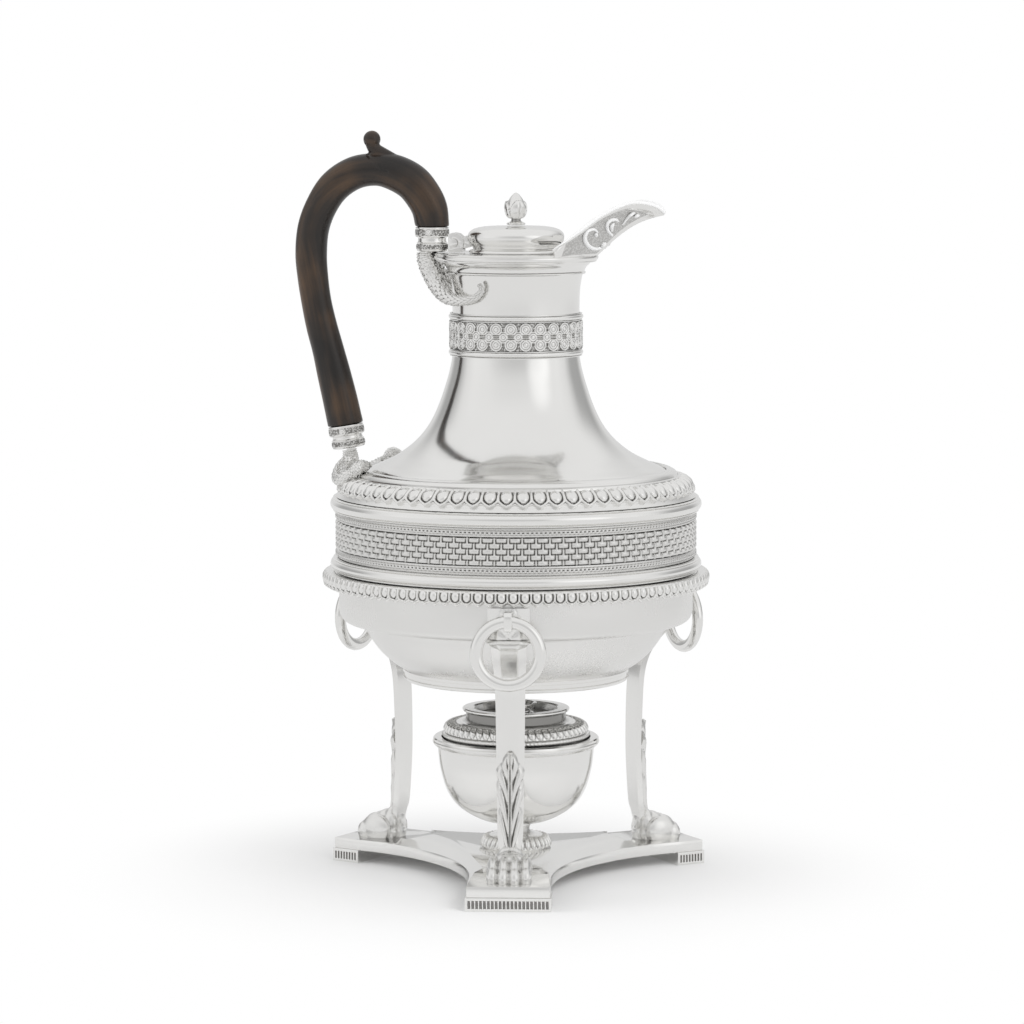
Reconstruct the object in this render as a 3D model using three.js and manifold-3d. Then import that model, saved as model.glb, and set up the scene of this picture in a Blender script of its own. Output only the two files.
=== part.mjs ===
// A silver coffee jug on a tripod lampstand, in millimetres, +Z up, standing on z = 0.
// The jug's spout points along +X and its wood handle along -X.
// The stand is a three-armed plate on block feet, three paw-footed legs and an open bowl.
// The jug drops into the bowl, the lamp stands on the plate under it, and a ring hangs on each leg.
import * as THREE from "three";
import { mergeVertices } from "three/addons/utils/BufferGeometryUtils.js";
import Module from "manifold-3d";

const wasm = await Module();
wasm.setup();

// Fits
const GAP = 0.3; // between pieces that are soldered or rest on each other
const RUNNING = 0.35; // round a pin that turns
const RING_PLAY = 0.5; // round the wire of a ring in its clip

// Facets
const LARGE_SIDES = 24;
const SMALL_SIDES = 20;
const PLATE_EDGE_STEPS = 8;

// Plate and block feet
const FOOT_HEIGHT = 5.5;
const FOOT_DEPTH = 12.9;
const FOOT_OVERHANG = 0.6;
const FLUTE_PITCH = 2.4;
const FLUTE_DEPTH = 0.5;
const PLATE_THICKNESS = 4.5;
const ARM_REACH = 80.6;
const ARM_WIDTH = 33.4;
const ARM_STRAIGHT = 12.5;
const PLATE_WAIST = 33.2;
const PANEL_DEPTH = 1.7;
const PANEL_BORDER = 1.8;
const PANEL_SLOPE = 3.4;
const PANEL_INSET = 29.6;

// Legs
const LEG_COUNT = 3;
const FRONT_LEG_ANGLE = -81.3;
const LEG_INSET = 23.6;
const LEG_WIDTH = 11.6;
const LEG_THICKNESS = 3.6;
const LEG_TOP_WIDTH = 16.8;
const LEG_TOP_THICKNESS = 3.2;
const LEG_TOP_HEIGHT = 14.2;
const LEAF_WIDTH = 9.6;
const LEAF_LENGTH = 36;
const PAW_LENGTH = 24;
const PAW_WIDTH = 18;
const PAW_HEIGHT = 15.5;

// Rings on the legs
const RING_OUTSIDE = 30.5;
const RING_WIRE = 4.6;
const CLIP_WIDTH = 3.2;
const CLIP_THICKNESS = 1.1;

// Bowl of the stand
const STAND_HEIGHT = 128.2;
const STAND_SHEET = 1.4;
const RIM_HEIGHT = 6.6;
const RIM_OVERHANG = 7.2;
const RIM_LOBES = 106;
const BOWL_DEPTH = 40.6;
const WALL_DEPTH = 16.4;
const COLLAR_RADIUS = 47;
const COLLAR_HEIGHT = 4.6;

// Jug
const DRUM_RADIUS = 73;
const JUG_SHEET = 1.4;
const SEAT_CLEARANCE = 0.6;
const DRUM_MOULDING = 3.9;
const DRUM_MOULDING_HEIGHT = 5.8;
const LOWER_MOULDING_HEIGHT = 4.6;
const RIM_SHADOW_GAP = 1.2;
const FRIEZE_HEIGHT = 18.6;
const FRIEZE_RELIEF = 2.1;
const GADROON_HEIGHT = 11.4;
const GADROON_LOBES = 68;
const NECK_RADIUS = 26.2;
const NECK_BAND_LEVEL = 217.2;
const NECK_BAND_HEIGHT = 17.6;
const MOUTH_LEVEL = 259.3;
const MOUTH_RADIUS = 34;
const MOUTH_HOLE = 18.2;

// Spout
const SPOUT_REACH = 61.4;
const SPOUT_RISE = 17.4;
const SPOUT_SHEET = 1.3;
const SPOUT_HALF_ANGLE = 52;

// Handle and its sockets
const HANDLE_WIDTH = 13.3;
const HANDLE_THICKNESS = 12.2;
const HANDLE_REACH = 51.5;
const HANDLE_ARCH = 23.6;
const HANDLE_SHOULDER = 11.6;
const TENON_RADIUS = 5.4;
const TENON_LENGTH = 6;
const UPPER_SOCKET_HEIGHT = 10.2;
const UPPER_SOCKET_RADIUS = 7.1;
const LOWER_SOCKET_RADIUS = 7.5;
const LOWER_SOCKET_LENGTH = 9.6;
const LOWER_SOCKET_TILT = 9;
const LOWER_SOCKET_LIFT = 20.2;
const SOCKET_PIN_RADIUS = 1;
const SOCKET_PIN_HEAD = 1.9;
const TAIL_RADIUS = 3;
const SERPENT_RADIUS = 2.5;
const SERPENT_SPREAD = 30;

// Lid and hinge
const LID_RADIUS = 19.9;
const LID_RISE = 11.3;
const LID_SHEET = 1.2;
const FINIAL_HEIGHT = 13.4;
const FINIAL_RADIUS = 4.3;
const HINGE_OFFSET = 25.6;
const HINGE_LIFT = 4.1;
const HINGE_PIN_RADIUS = 1.1;
const KNUCKLE_RADIUS = 2;
const CHEEK_RADIUS = 4.2;
const KNUCKLE_WIDTH = 3.8;
const CHEEK_THICKNESS = 1.2;

// Lamp
const LAMP_FOOT_RADIUS = 15.5;
const LAMP_STEM_RADIUS = 5.7;
const LAMP_STEM_HEIGHT = 13.3;
const LAMP_BOWL_RADIUS = 32.5;
const LAMP_BOWL_HEIGHT = 36.3;
const LAMP_SHEET = 1.4;
const LAMP_RIM = 2.2;
const COVER_RISE = 12;
const COVER_NECK_RADIUS = 20.8;
const WICK_TUBE_RADIUS = 5.9;
const WICK_RADIUS = 4.2;

// Levels and places that follow from the sizes
const plateTop = FOOT_HEIGHT + PLATE_THICKNESS;
const panelLevel = plateTop - PANEL_DEPTH;
const panelReach = ARM_REACH - PANEL_INSET;
const legRadius = ARM_REACH - LEG_INSET;
const wallOutside = DRUM_RADIUS + 0.4;
const wallInside = wallOutside - STAND_SHEET;
const rimRadius = wallOutside + RIM_OVERHANG;
const shelfLevel = STAND_HEIGHT - WALL_DEPTH - 5.2;
const bowlBottom = STAND_HEIGHT - BOWL_DEPTH;
const jugBottom = shelfLevel + STAND_SHEET + GAP;
const seatRadius = wallInside - SEAT_CLEARANCE;
const lowerMouldingLevel = STAND_HEIGHT + RIM_SHADOW_GAP;
const friezeLevel = lowerMouldingLevel + LOWER_MOULDING_HEIGHT + GAP;
const upperMouldingLevel = friezeLevel + FRIEZE_HEIGHT + GAP;
const gadroonLevel = upperMouldingLevel + DRUM_MOULDING_HEIGHT + GAP;
const shoulderTop = gadroonLevel + GADROON_HEIGHT;
const legTopLevel = STAND_HEIGHT - RIM_HEIGHT - GAP;
const legTopBack = wallOutside + GAP;
const hingeLevel = MOUTH_LEVEL + HINGE_LIFT;

const silver = { color: 0xd6d6d4, roughness: 0.16, metalness: 1 };
const darkWood = { color: 0x35281f, roughness: 0.38, metalness: 0 };
const cotton = { color: 0xd9d2c0, roughness: 0.95, metalness: 0 };

function radians(degrees) {
  return THREE.MathUtils.degToRad(degrees);
}

// Solids

function mergedPositions(geometry) {
  const bare = new THREE.BufferGeometry();
  bare.setAttribute("position", geometry.getAttribute("position"));
  bare.setIndex(geometry.getIndex());
  return mergeVertices(bare, 1e-4);
}

function toSolid(geometry) {
  const merged = mergedPositions(geometry);
  return new wasm.Manifold(
    new wasm.Mesh({
      numProp: 3,
      vertProperties: new Float32Array(merged.getAttribute("position").array),
      triVerts: new Uint32Array(merged.getIndex().array),
    }),
  );
}

function toGeometry(solid) {
  const mesh = solid.getMesh();
  const geometry = new THREE.BufferGeometry();
  geometry.setAttribute("position", new THREE.BufferAttribute(mesh.vertProperties, 3));
  geometry.setIndex(new THREE.BufferAttribute(mesh.triVerts, 1));
  return geometry;
}

function union(geometries) {
  const [first, ...rest] = geometries.map(toSolid);
  return toGeometry(rest.reduce((whole, piece) => whole.add(piece), first));
}

function subtract(geometry, cutters) {
  const whole = toSolid(geometry);
  return toGeometry(cutters.map(toSolid).reduce((left, cutter) => left.subtract(cutter), whole));
}

// A closed surface from rings of points, whatever way round the points run.
function surface(positions, triangles) {
  let volume = 0;
  const corner = (index) => positions[index];
  for (let i = 0; i < triangles.length; i += 3) {
    const [a, b, c] = [corner(triangles[i]), corner(triangles[i + 1]), corner(triangles[i + 2])];
    volume += a.dot(b.clone().cross(c));
  }
  const facing = volume < 0 ? triangles.slice().reverse() : triangles;
  const geometry = new THREE.BufferGeometry();
  geometry.setAttribute(
    "position",
    new THREE.Float32BufferAttribute(positions.flatMap((p) => [p.x, p.y, p.z]), 3),
  );
  geometry.setIndex(facing);
  return geometry;
}

// Triangles that fill one flat section, also where its outline is hollow.
function filled(section) {
  const normal = new THREE.Vector3();
  section.forEach((point, i) => normal.add(point.clone().cross(section[(i + 1) % section.length])));
  const across = section[1].clone().sub(section[0]).normalize();
  const up = normal.cross(across).normalize();
  const flat = section.map((point) => new THREE.Vector2(point.dot(across), point.dot(up)));
  return THREE.ShapeUtils.triangulateShape(flat, []);
}

// Sections with equal numbers of points, joined side by side and closed at both ends.
function loft(sections) {
  const count = sections[0].length;
  const positions = sections.flat();
  const triangles = [];
  for (let s = 0; s < sections.length - 1; s++) {
    for (let i = 0; i < count; i++) {
      const a = s * count + i;
      const b = s * count + ((i + 1) % count);
      triangles.push(a, b, a + count, b, b + count, a + count);
    }
  }
  const last = (sections.length - 1) * count;
  filled(sections[0]).forEach(([a, b, c]) => triangles.push(a, c, b));
  filled(sections[sections.length - 1]).forEach(([a, b, c]) => triangles.push(last + a, last + b, last + c));
  return surface(positions, triangles);
}

// A profile of [radius, height] turned about Z. It ends on the axis, or closes on itself.
function turned(profile, sides = LARGE_SIDES) {
  const closed = profile[0][0] > 0;
  const outline = closed ? [...profile, profile[0]] : profile;
  let area = 0;
  outline.forEach(([radius, height], i) => {
    const [nextRadius, nextHeight] = outline[(i + 1) % outline.length];
    area += radius * nextHeight - nextRadius * height;
  });
  const ordered = area > 0 ? outline : outline.slice().reverse();
  const points = ordered.map(([radius, height]) => new THREE.Vector2(radius, height));
  return new THREE.LatheGeometry(points, sides).rotateX(Math.PI / 2);
}

// A ring whose rows of points may differ in number, as plain rows do beside lobed ones.
function ringOfRows(rows) {
  const positions = [];
  const starts = [];
  for (const row of rows) {
    starts.push(positions.length);
    for (let i = 0; i < row.count; i++) {
      const angle = (2 * Math.PI * i) / row.count;
      const [radius, height] = row.at(angle);
      positions.push(new THREE.Vector3(radius * Math.cos(angle), radius * Math.sin(angle), height));
    }
  }
  const triangles = [];
  rows.forEach((row, r) => {
    const next = (r + 1) % rows.length;
    const other = rows[next];
    let i = 0;
    let j = 0;
    while (i < row.count || j < other.count) {
      const here = starts[r] + (i % row.count);
      const there = starts[next] + (j % other.count);
      if (j === other.count || (i < row.count && (i + 1) * other.count <= (j + 1) * row.count)) {
        triangles.push(here, starts[r] + ((i + 1) % row.count), there);
        i++;
      } else {
        triangles.push(here, starts[next] + ((j + 1) % other.count), there);
        j++;
      }
    }
  });
  return surface(positions, triangles);
}

// A flat outline of [x, y] pushed up along Z between two levels.
function prism(outline, low, high) {
  const shape = new THREE.Shape(outline.map(([x, y]) => new THREE.Vector2(x, y)));
  return new THREE.ExtrudeGeometry(shape, { depth: high - low, bevelEnabled: false }).translate(0, 0, low);
}

// An outline of [x, z] pushed along Y, centred on the handle plane or beside it.
function slab(outline, middle, width, holes = []) {
  const shape = new THREE.Shape(outline.map(([x, z]) => new THREE.Vector2(x, z)));
  for (const [x, z, radius] of holes) {
    const hole = new THREE.Path();
    hole.absarc(x, z, radius, 0, 2 * Math.PI, true);
    shape.holes.push(hole);
  }
  const geometry = new THREE.ExtrudeGeometry(shape, { depth: width, bevelEnabled: false, curveSegments: 6 });
  return geometry.rotateX(Math.PI / 2).translate(0, middle + width / 2, 0);
}

// A rod along Y between two places.
function rodAlongY(x, z, radius, from, to, sides = 10) {
  return new THREE.CylinderGeometry(radius, radius, to - from, sides).translate(x, (from + to) / 2, z);
}

// A round body along a curve through the points, each [x, y, z, radius].
function limb(points, steps, sides, flatness = 1) {
  const curve = new THREE.CatmullRomCurve3(points.map(([x, y, z]) => new THREE.Vector3(x, y, z)));
  const frames = curve.computeFrenetFrames(steps, false);
  const sections = [];
  for (let s = 0; s <= steps; s++) {
    const t = s / steps;
    const place = t * (points.length - 1);
    const before = Math.min(Math.floor(place), points.length - 2);
    const radius = THREE.MathUtils.lerp(points[before][3], points[before + 1][3], place - before);
    const centre = curve.getPoint(t);
    sections.push(
      Array.from({ length: sides }, (_, i) => {
        const angle = (2 * Math.PI * i) / sides;
        return centre
          .clone()
          .addScaledVector(frames.normals[s], radius * Math.cos(angle))
          .addScaledVector(frames.binormals[s], radius * flatness * Math.sin(angle));
      }),
    );
  }
  return loft(sections);
}

const pot = new THREE.Group();

function place(parent, name, geometry, finish = silver) {
  const mesh = new THREE.Mesh(geometry, new THREE.MeshStandardMaterial(finish));
  mesh.name = name;
  parent.add(mesh);
  return mesh;
}

// Plate: three straight arms joined by incurved edges, with a sunk panel between the arms.

function armCorner(angle, reach, side, inset) {
  const across = side * (ARM_WIDTH / 2 - inset);
  return [
    reach * Math.cos(angle) - across * Math.sin(angle),
    reach * Math.sin(angle) + across * Math.cos(angle),
  ];
}

function plateOutline(reach, straightFrom, inset, steps) {
  const outline = [];
  for (let arm = 0; arm < LEG_COUNT; arm++) {
    const angle = radians(FRONT_LEG_ANGLE + (360 / LEG_COUNT) * arm);
    const middle = angle + Math.PI / LEG_COUNT;
    outline.push(armCorner(angle, reach, -1, inset));
    outline.push(armCorner(angle, reach, 1, inset));
    const [x, y] = armCorner(angle, straightFrom, 1, inset);
    const along = x * Math.cos(middle) + y * Math.sin(middle);
    const across = Math.abs(y * Math.cos(middle) - x * Math.sin(middle));
    const waist = PLATE_WAIST - inset;
    const bow = along - waist;
    const edgeRadius = (bow * bow + across * across) / (2 * bow);
    const half = Math.asin(across / edgeRadius);
    for (let i = 0; i <= steps; i++) {
      const turn = half * (1 - (2 * i) / steps);
      const out = waist + edgeRadius * (1 - Math.cos(turn));
      const side = -edgeRadius * Math.sin(turn);
      outline.push([
        out * Math.cos(middle) - side * Math.sin(middle),
        out * Math.sin(middle) + side * Math.cos(middle),
      ]);
    }
  }
  return outline;
}

function basePlate() {
  const edge = plateOutline(ARM_REACH, ARM_REACH - ARM_STRAIGHT, 0, PLATE_EDGE_STEPS);
  const brink = plateOutline(panelReach, panelReach - 0.4, PANEL_BORDER, PLATE_EDGE_STEPS);
  const floorReach = panelReach - PANEL_SLOPE;
  const floor = plateOutline(floorReach, floorReach - 0.4, PANEL_BORDER + PANEL_SLOPE, PLATE_EDGE_STEPS);
  const above = 1;
  const grow = above / PANEL_DEPTH;
  const lid = brink.map(([x, y], i) => [x + (x - floor[i][0]) * grow, y + (y - floor[i][1]) * grow]);
  const panel = loft([
    floor.map(([x, y]) => new THREE.Vector3(x, y, panelLevel)),
    lid.map(([x, y]) => new THREE.Vector3(x, y, plateTop + above)),
  ]);
  return subtract(prism(edge, FOOT_HEIGHT, plateTop), [panel]);
}

// Block foot under each arm end, fluted on its outer face and its two short faces.
function blockFoot() {
  const outer = ARM_REACH + FOOT_OVERHANG;
  const inner = outer - FOOT_DEPTH;
  const half = ARM_WIDTH / 2 + FOOT_OVERHANG;
  const faces = [
    [inner, -half, outer, -half],
    [outer, -half, outer, half],
    [outer, half, inner, half],
  ];
  const outline = [];
  for (const [x0, y0, x1, y1] of faces) {
    const length = Math.hypot(x1 - x0, y1 - y0);
    const alongX = (x1 - x0) / length;
    const alongY = (y1 - y0) / length;
    const flutes = Math.floor(length / FLUTE_PITCH - 1);
    const margin = (length - flutes * FLUTE_PITCH) / 2;
    outline.push([x0, y0]);
    for (let i = 0; i < flutes; i++) {
      const crest = margin + i * FLUTE_PITCH;
      const valley = crest + FLUTE_PITCH / 2;
      outline.push([x0 + alongX * crest, y0 + alongY * crest]);
      outline.push([
        x0 + alongX * valley - alongY * FLUTE_DEPTH,
        y0 + alongY * valley + alongX * FLUTE_DEPTH,
      ]);
    }
    const end = length - margin;
    outline.push([x0 + alongX * end, y0 + alongY * end]);
  }
  outline.push([inner, half]);
  return prism(outline, 0, FOOT_HEIGHT);
}

// The shaft of a leg as shares of its reach and drop, with its lean and its added width.
const SHAFT = [
  [0.77, 0.07, 52, 2.2],
  [0.52, 0.12, 56, 1.7],
  [0.3, 0.175, 50, 1.2],
  [0.13, 0.25, 34, 0.7],
  [0.04, 0.35, 12, 0.3],
  [0, 0.52, 2, 0],
  [-0.01, 0.72, -2, -0.5],
  [0.02, 0.88, -6, -0.9],
  [0.06, 1, -6, -0.9],
];
const panelMiddle = legTopBack + LEG_TOP_THICKNESS / 2;
const panelFoot = legTopLevel - LEG_TOP_HEIGHT;
const shaftFoot = plateTop + PAW_HEIGHT + GAP;

function shaftStation([out, down, lean, wider]) {
  return {
    radius: legRadius + out * (panelMiddle - legRadius),
    level: panelFoot - down * (panelFoot - shaftFoot),
    lean: radians(lean),
    width: LEG_WIDTH + wider,
    thickness: LEG_THICKNESS,
  };
}

// How far out the front of the shaft is at a level.
function shaftFront(level) {
  const front = SHAFT.map(shaftStation).map(({ radius, level: height, lean, thickness }) => [
    radius + (thickness / 2) * Math.cos(lean),
    height - (thickness / 2) * Math.sin(lean),
  ]);
  let i = front.length - 2;
  while (i > 0 && front[i][1] < level) i--;
  const [[upperOut, upper], [lowerOut, lower]] = [front[i], front[i + 1]];
  return upperOut + ((lowerOut - upperOut) * (level - upper)) / (lower - upper);
}

// Leg: a flat panel against the bowl's wall, a ledge, then a bevelled shaft that curves in and down.
function leg() {
  const panel = { radius: panelMiddle, lean: 0, width: LEG_TOP_WIDTH, thickness: LEG_TOP_THICKNESS };
  const ledge = { radius: panelMiddle + 0.5, lean: 0, width: LEG_TOP_WIDTH + 0.8, thickness: LEG_TOP_THICKNESS + 1 };
  const stations = [
    { ...panel, level: legTopLevel },
    { ...panel, level: panelFoot + 1.3 },
    { ...ledge, level: panelFoot + 1 },
    { ...ledge, level: panelFoot },
    { radius: panelMiddle - 0.4, level: panelFoot - 1.2, lean: 0.42, width: LEG_WIDTH + 2.4, thickness: LEG_THICKNESS },
    ...SHAFT.map(shaftStation),
  ];
  const section = [
    [0.5, -0.27],
    [0.5, 0.27],
    [0.05, 0.5],
    [-0.5, 0.42],
    [-0.5, -0.42],
    [0.05, -0.5],
  ];
  return loft(
    stations.map(({ radius, level, lean, width, thickness }) =>
      section.map(([depth, across]) => {
        const out = depth * thickness;
        return new THREE.Vector3(radius + out * Math.cos(lean), across * width, level - out * Math.sin(lean));
      }),
    ),
  );
}

// Acanthus leaf laid on the front of the shaft, ribbed down its middle, its tip curling out.
function leaf() {
  const foot = shaftFoot + GAP;
  const stations = [
    [0, 0, 0.78, 1.4, 0],
    [0, 0.14, 0.95, 1.8, 0],
    [0, 0.34, 1, 1.9, 0],
    [0, 0.56, 0.97, 1.9, 0],
    [0, 0.75, 0.78, 1.7, 4],
    [0.5, 0.88, 0.58, 1.5, 24],
    [1.8, 0.96, 0.4, 1.2, 58],
    [3.5, 0.98, 0.2, 0.8, 86],
  ];
  const section = [
    [0, -0.5],
    [0.65, -0.3],
    [0.45, -0.1],
    [1, 0],
    [0.45, 0.1],
    [0.65, 0.3],
    [0, 0.5],
  ];
  return loft(
    stations.map(([out, up, wide, thick, turn]) => {
      const level = foot + up * LEAF_LENGTH;
      const back = shaftFront(level) + 1.3 * GAP + out;
      return section.map(([depth, across]) => new THREE.Vector3(
        back + depth * thick * Math.cos(radians(turn)),
        across * wide * LEAF_WIDTH,
        level - depth * thick * Math.sin(radians(turn)),
      ));
    }),
  );
}

// Lion's paw: an ankle and an instep that end in four toes, flat where it stands.
function paw() {
  const heel = legRadius - 0.16 * PAW_LENGTH;
  // A lump's place and its half sizes, all as shares of the paw's length, width and height.
  const lump = (x, y, z, length, width, height, sides) =>
    new THREE.SphereGeometry(1, sides, 4)
      .rotateX(Math.PI / 2)
      .scale(length * PAW_LENGTH, width * PAW_WIDTH, height * PAW_HEIGHT)
      .translate(heel + x * PAW_LENGTH, y * PAW_WIDTH, plateTop + z * PAW_HEIGHT);
  const lumps = [
    lump(0.2, 0, 0.66, 0.21, 0.3, 0.335, 6),
    lump(0.42, 0, 0.46, 0.38, 0.4, 0.445, 6),
  ];
  for (const [side, back] of [[-0.36, 0.08], [-0.13, 0], [0.13, 0], [0.36, 0.08]]) {
    lumps.push(lump(0.76 - back, side, 0.3, 0.24, 0.145, 0.335, 5));
  }
  const whole = union(lumps);
  const below = new THREE.BoxGeometry(4 * PAW_LENGTH, 4 * PAW_WIDTH, PAW_HEIGHT);
  below.translate(legRadius, 0, plateTop - PAW_HEIGHT / 2);
  const above = new THREE.BoxGeometry(4 * PAW_LENGTH, 4 * PAW_WIDTH, PAW_HEIGHT);
  above.translate(legRadius, 0, plateTop + PAW_HEIGHT * 1.5);
  return subtract(whole, [below, above]);
}

// Strap clip on the leg's panel, closed round the ring's wire.
const ringAxisRadius = legTopBack + LEG_TOP_THICKNESS + GAP + RING_PLAY + RING_WIRE / 2;
const ringAxisLevel = legTopLevel - 4.7;

function ringClip() {
  const back = legTopBack + LEG_TOP_THICKNESS + GAP;
  const inner = RING_WIRE / 2 + RING_PLAY;
  const outer = inner + CLIP_THICKNESS;
  const outline = [
    [back, ringAxisLevel - outer],
    [ringAxisRadius + outer * 0.7, ringAxisLevel - outer],
    [ringAxisRadius + outer, ringAxisLevel - outer * 0.6],
    [ringAxisRadius + outer, ringAxisLevel + outer * 0.6],
    [ringAxisRadius + outer * 0.7, ringAxisLevel + outer],
    [back, ringAxisLevel + outer],
    [back, ringAxisLevel + outer - CLIP_THICKNESS * 1.2],
    [ringAxisRadius + inner * 0.45, ringAxisLevel + inner],
    [ringAxisRadius + inner, ringAxisLevel + inner * 0.45],
    [ringAxisRadius + inner, ringAxisLevel - inner * 0.45],
    [ringAxisRadius + inner * 0.45, ringAxisLevel - inner],
    [back, ringAxisLevel - inner],
  ];
  return slab(outline, 0, CLIP_WIDTH);
}

function legRing() {
  const middle = (RING_OUTSIDE - RING_WIRE) / 2;
  const ring = new THREE.TorusGeometry(middle, RING_WIRE / 2, 6, 16);
  return ring.rotateY(Math.PI / 2).translate(ringAxisRadius, 0, ringAxisLevel - middle);
}

// Bowl of the stand: a straight wall, a shelf that the jug rests on, and a dish open at the bottom.
function standBowl() {
  const shelf = shelfLevel;
  const reach = wallOutside - COLLAR_RADIUS;
  const depth = shelf - bowlBottom;
  const outside = [
    [COLLAR_RADIUS, bowlBottom],
    [COLLAR_RADIUS + 0.17 * reach, bowlBottom + 0.15 * depth],
    [COLLAR_RADIUS + 0.37 * reach, bowlBottom + 0.41 * depth],
    [COLLAR_RADIUS + 0.54 * reach, bowlBottom + 0.74 * depth],
    [COLLAR_RADIUS + 0.66 * reach, shelf],
    [wallOutside - 3.6, shelf + 0.5],
    [wallOutside - 1, shelf + 2.3],
    [wallOutside, shelf + 5.2],
    [wallOutside, STAND_HEIGHT - 0.4],
  ];
  const inside = [
    [wallInside, STAND_HEIGHT - 0.4],
    [wallInside, shelf + 5.4],
    [wallInside - 3.2, shelf + STAND_SHEET],
    [COLLAR_RADIUS + 0.58 * reach - 1, shelf + STAND_SHEET],
    [COLLAR_RADIUS + 0.37 * reach - 1.2, bowlBottom + 0.41 * depth + 1.2],
    [COLLAR_RADIUS - 2.2, bowlBottom],
  ];
  return turned([...outside, ...inside]);
}

function standCollar() {
  const top = bowlBottom - GAP;
  const low = top - COLLAR_HEIGHT;
  return turned([
    [COLLAR_RADIUS - 3.4, low],
    [COLLAR_RADIUS - 1, low],
    [COLLAR_RADIUS, low + 1],
    [COLLAR_RADIUS, top],
    [COLLAR_RADIUS - 3.4, top],
  ]);
}

// Gadrooned border round the top of the wall: upright lobes over a scalloped lip.
function standRim() {
  const low = STAND_HEIGHT - RIM_HEIGHT;
  const inside = wallOutside + GAP;
  const lobes = (depth) => (angle) => -depth * (0.5 - 0.5 * Math.cos(RIM_LOBES * angle));
  const round = 2 * RIM_LOBES;
  const row = (radius, height, depth, drop = 0) => ({
    count: round,
    at: (angle) => [radius + lobes(depth)(angle), height - lobes(drop)(angle)],
  });
  const plain = (radius, height) => ({ count: LARGE_SIDES, at: () => [radius, height] });
  return ringOfRows([
    plain(inside, low + 1),
    row(rimRadius - 0.8, low, 0.7, 0.8),
    row(rimRadius - 0.2, low + 0.7 * RIM_HEIGHT, 1),
    plain(rimRadius - 3, STAND_HEIGHT),
    plain(inside, STAND_HEIGHT),
  ]);
}

// Jug

// The flared wall from the drum up to the neck band, as shares of its width and height.
const FLARE = [
  [0.756, 0.019],
  [0.62, 0.08],
  [0.45, 0.167],
  [0.29, 0.3],
  [0.17, 0.47],
  [0.07, 0.72],
  [0, 1],
];

function flarePoint([wide, high], inward) {
  const top = shoulderTop - 1.6;
  return [
    NECK_RADIUS - inward + wide * (DRUM_RADIUS - NECK_RADIUS),
    top + high * (NECK_BAND_LEVEL - top) - inward * wide * 0.7,
  ];
}

function jugBody() {
  const mouth = MOUTH_LEVEL - 1.5;
  const low = gadroonLevel + 2.4;
  const bandTop = NECK_BAND_LEVEL + NECK_BAND_HEIGHT;
  const rise = mouth - bandTop;
  const outside = [
    [DRUM_RADIUS - 2.4, low],
    [DRUM_RADIUS - 6.6, low + 4.2],
    ...FLARE.map((share) => flarePoint(share, 0)),
    [NECK_RADIUS, bandTop],
    [NECK_RADIUS + 0.6, bandTop + 0.4 * rise],
    [NECK_RADIUS + 2.1, bandTop + 0.72 * rise],
    [MOUTH_RADIUS - 2.3, mouth],
  ];
  const inside = [
    [MOUTH_RADIUS - 3.9, mouth],
    [NECK_RADIUS + 0.2, bandTop + 0.64 * rise],
    [NECK_RADIUS - JUG_SHEET, bandTop],
    ...FLARE.map((share) => flarePoint(share, JUG_SHEET)).reverse(),
    [DRUM_RADIUS - 4, low],
  ];
  return turned([...outside, ...inside]);
}

// Drum: the straight wall under the shoulder and the bottom that sits down inside the stand.
function jugDrum() {
  const top = gadroonLevel + 2.4 - GAP;
  const step = STAND_HEIGHT + 0.6;
  return turned([
    [0, jugBottom + 1.8],
    [seatRadius - 10, jugBottom],
    [seatRadius - 3.6, jugBottom],
    [seatRadius, jugBottom + 4.6],
    [seatRadius, step],
    [DRUM_RADIUS, step + 0.6],
    [DRUM_RADIUS, gadroonLevel - 0.6],
    [DRUM_RADIUS - 2.4, top],
    [DRUM_RADIUS - 4, top],
    [DRUM_RADIUS - JUG_SHEET, gadroonLevel - 1.2],
    [DRUM_RADIUS - JUG_SHEET, step + 1],
    [seatRadius - JUG_SHEET, step + 0.4],
    [seatRadius - JUG_SHEET, jugBottom + 4.8],
    [seatRadius - 4.2, jugBottom + JUG_SHEET],
    [0, jugBottom + 1.8 + JUG_SHEET],
  ]);
}

function roundMoulding(level, height) {
  const inside = DRUM_RADIUS + GAP;
  const outside = DRUM_RADIUS + DRUM_MOULDING;
  return turned([
    [inside, level],
    [outside - 1.4, level],
    [outside, level + 0.5 * height],
    [outside - 1.4, level + height],
    [inside, level + height],
  ]);
}

// Basket frieze: a sleeve with a raised border along its top and bottom.
function basketFrieze() {
  const inside = DRUM_RADIUS + GAP;
  const outside = DRUM_RADIUS + FRIEZE_RELIEF;
  const high = friezeLevel + FRIEZE_HEIGHT;
  return turned([
    [inside, friezeLevel],
    [outside, friezeLevel],
    [outside - 0.4, friezeLevel + 3.5],
    [outside - 0.4, high - 3.5],
    [outside, high],
    [inside, high],
  ]);
}

// Gadrooned shoulder: leaning lobes that end in a scalloped lip, under a plain step moulding.
function shoulderGadroon() {
  const low = gadroonLevel;
  const lobe = (angle) => Math.abs(Math.sin((GADROON_LOBES * angle) / 2));
  const lobed = ([radius, height], depth, drop) => ({
    count: 3 * GADROON_LOBES,
    at: (angle) => [radius - depth * (1 - lobe(angle)), height + drop * (1 - lobe(angle))],
  });
  const plain = ([radius, height]) => ({ count: LARGE_SIDES, at: () => [radius, height] });
  const [lip, crest, ...step] = SHOULDER;
  const [innerRadius, innerLevel] = step[step.length - 1];
  return ringOfRows([
    plain([DRUM_RADIUS + 0.1, low]),
    lobed(lip, 0.9, 1.2),
    lobed(crest, 1.2, 0),
    ...step.map(plain),
    plain([innerRadius, innerLevel - 0.6]),
    plain([DRUM_RADIUS - 6.25, low + 7]),
    plain([DRUM_RADIUS - 2, low + 2.7]),
  ]);
}

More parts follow.
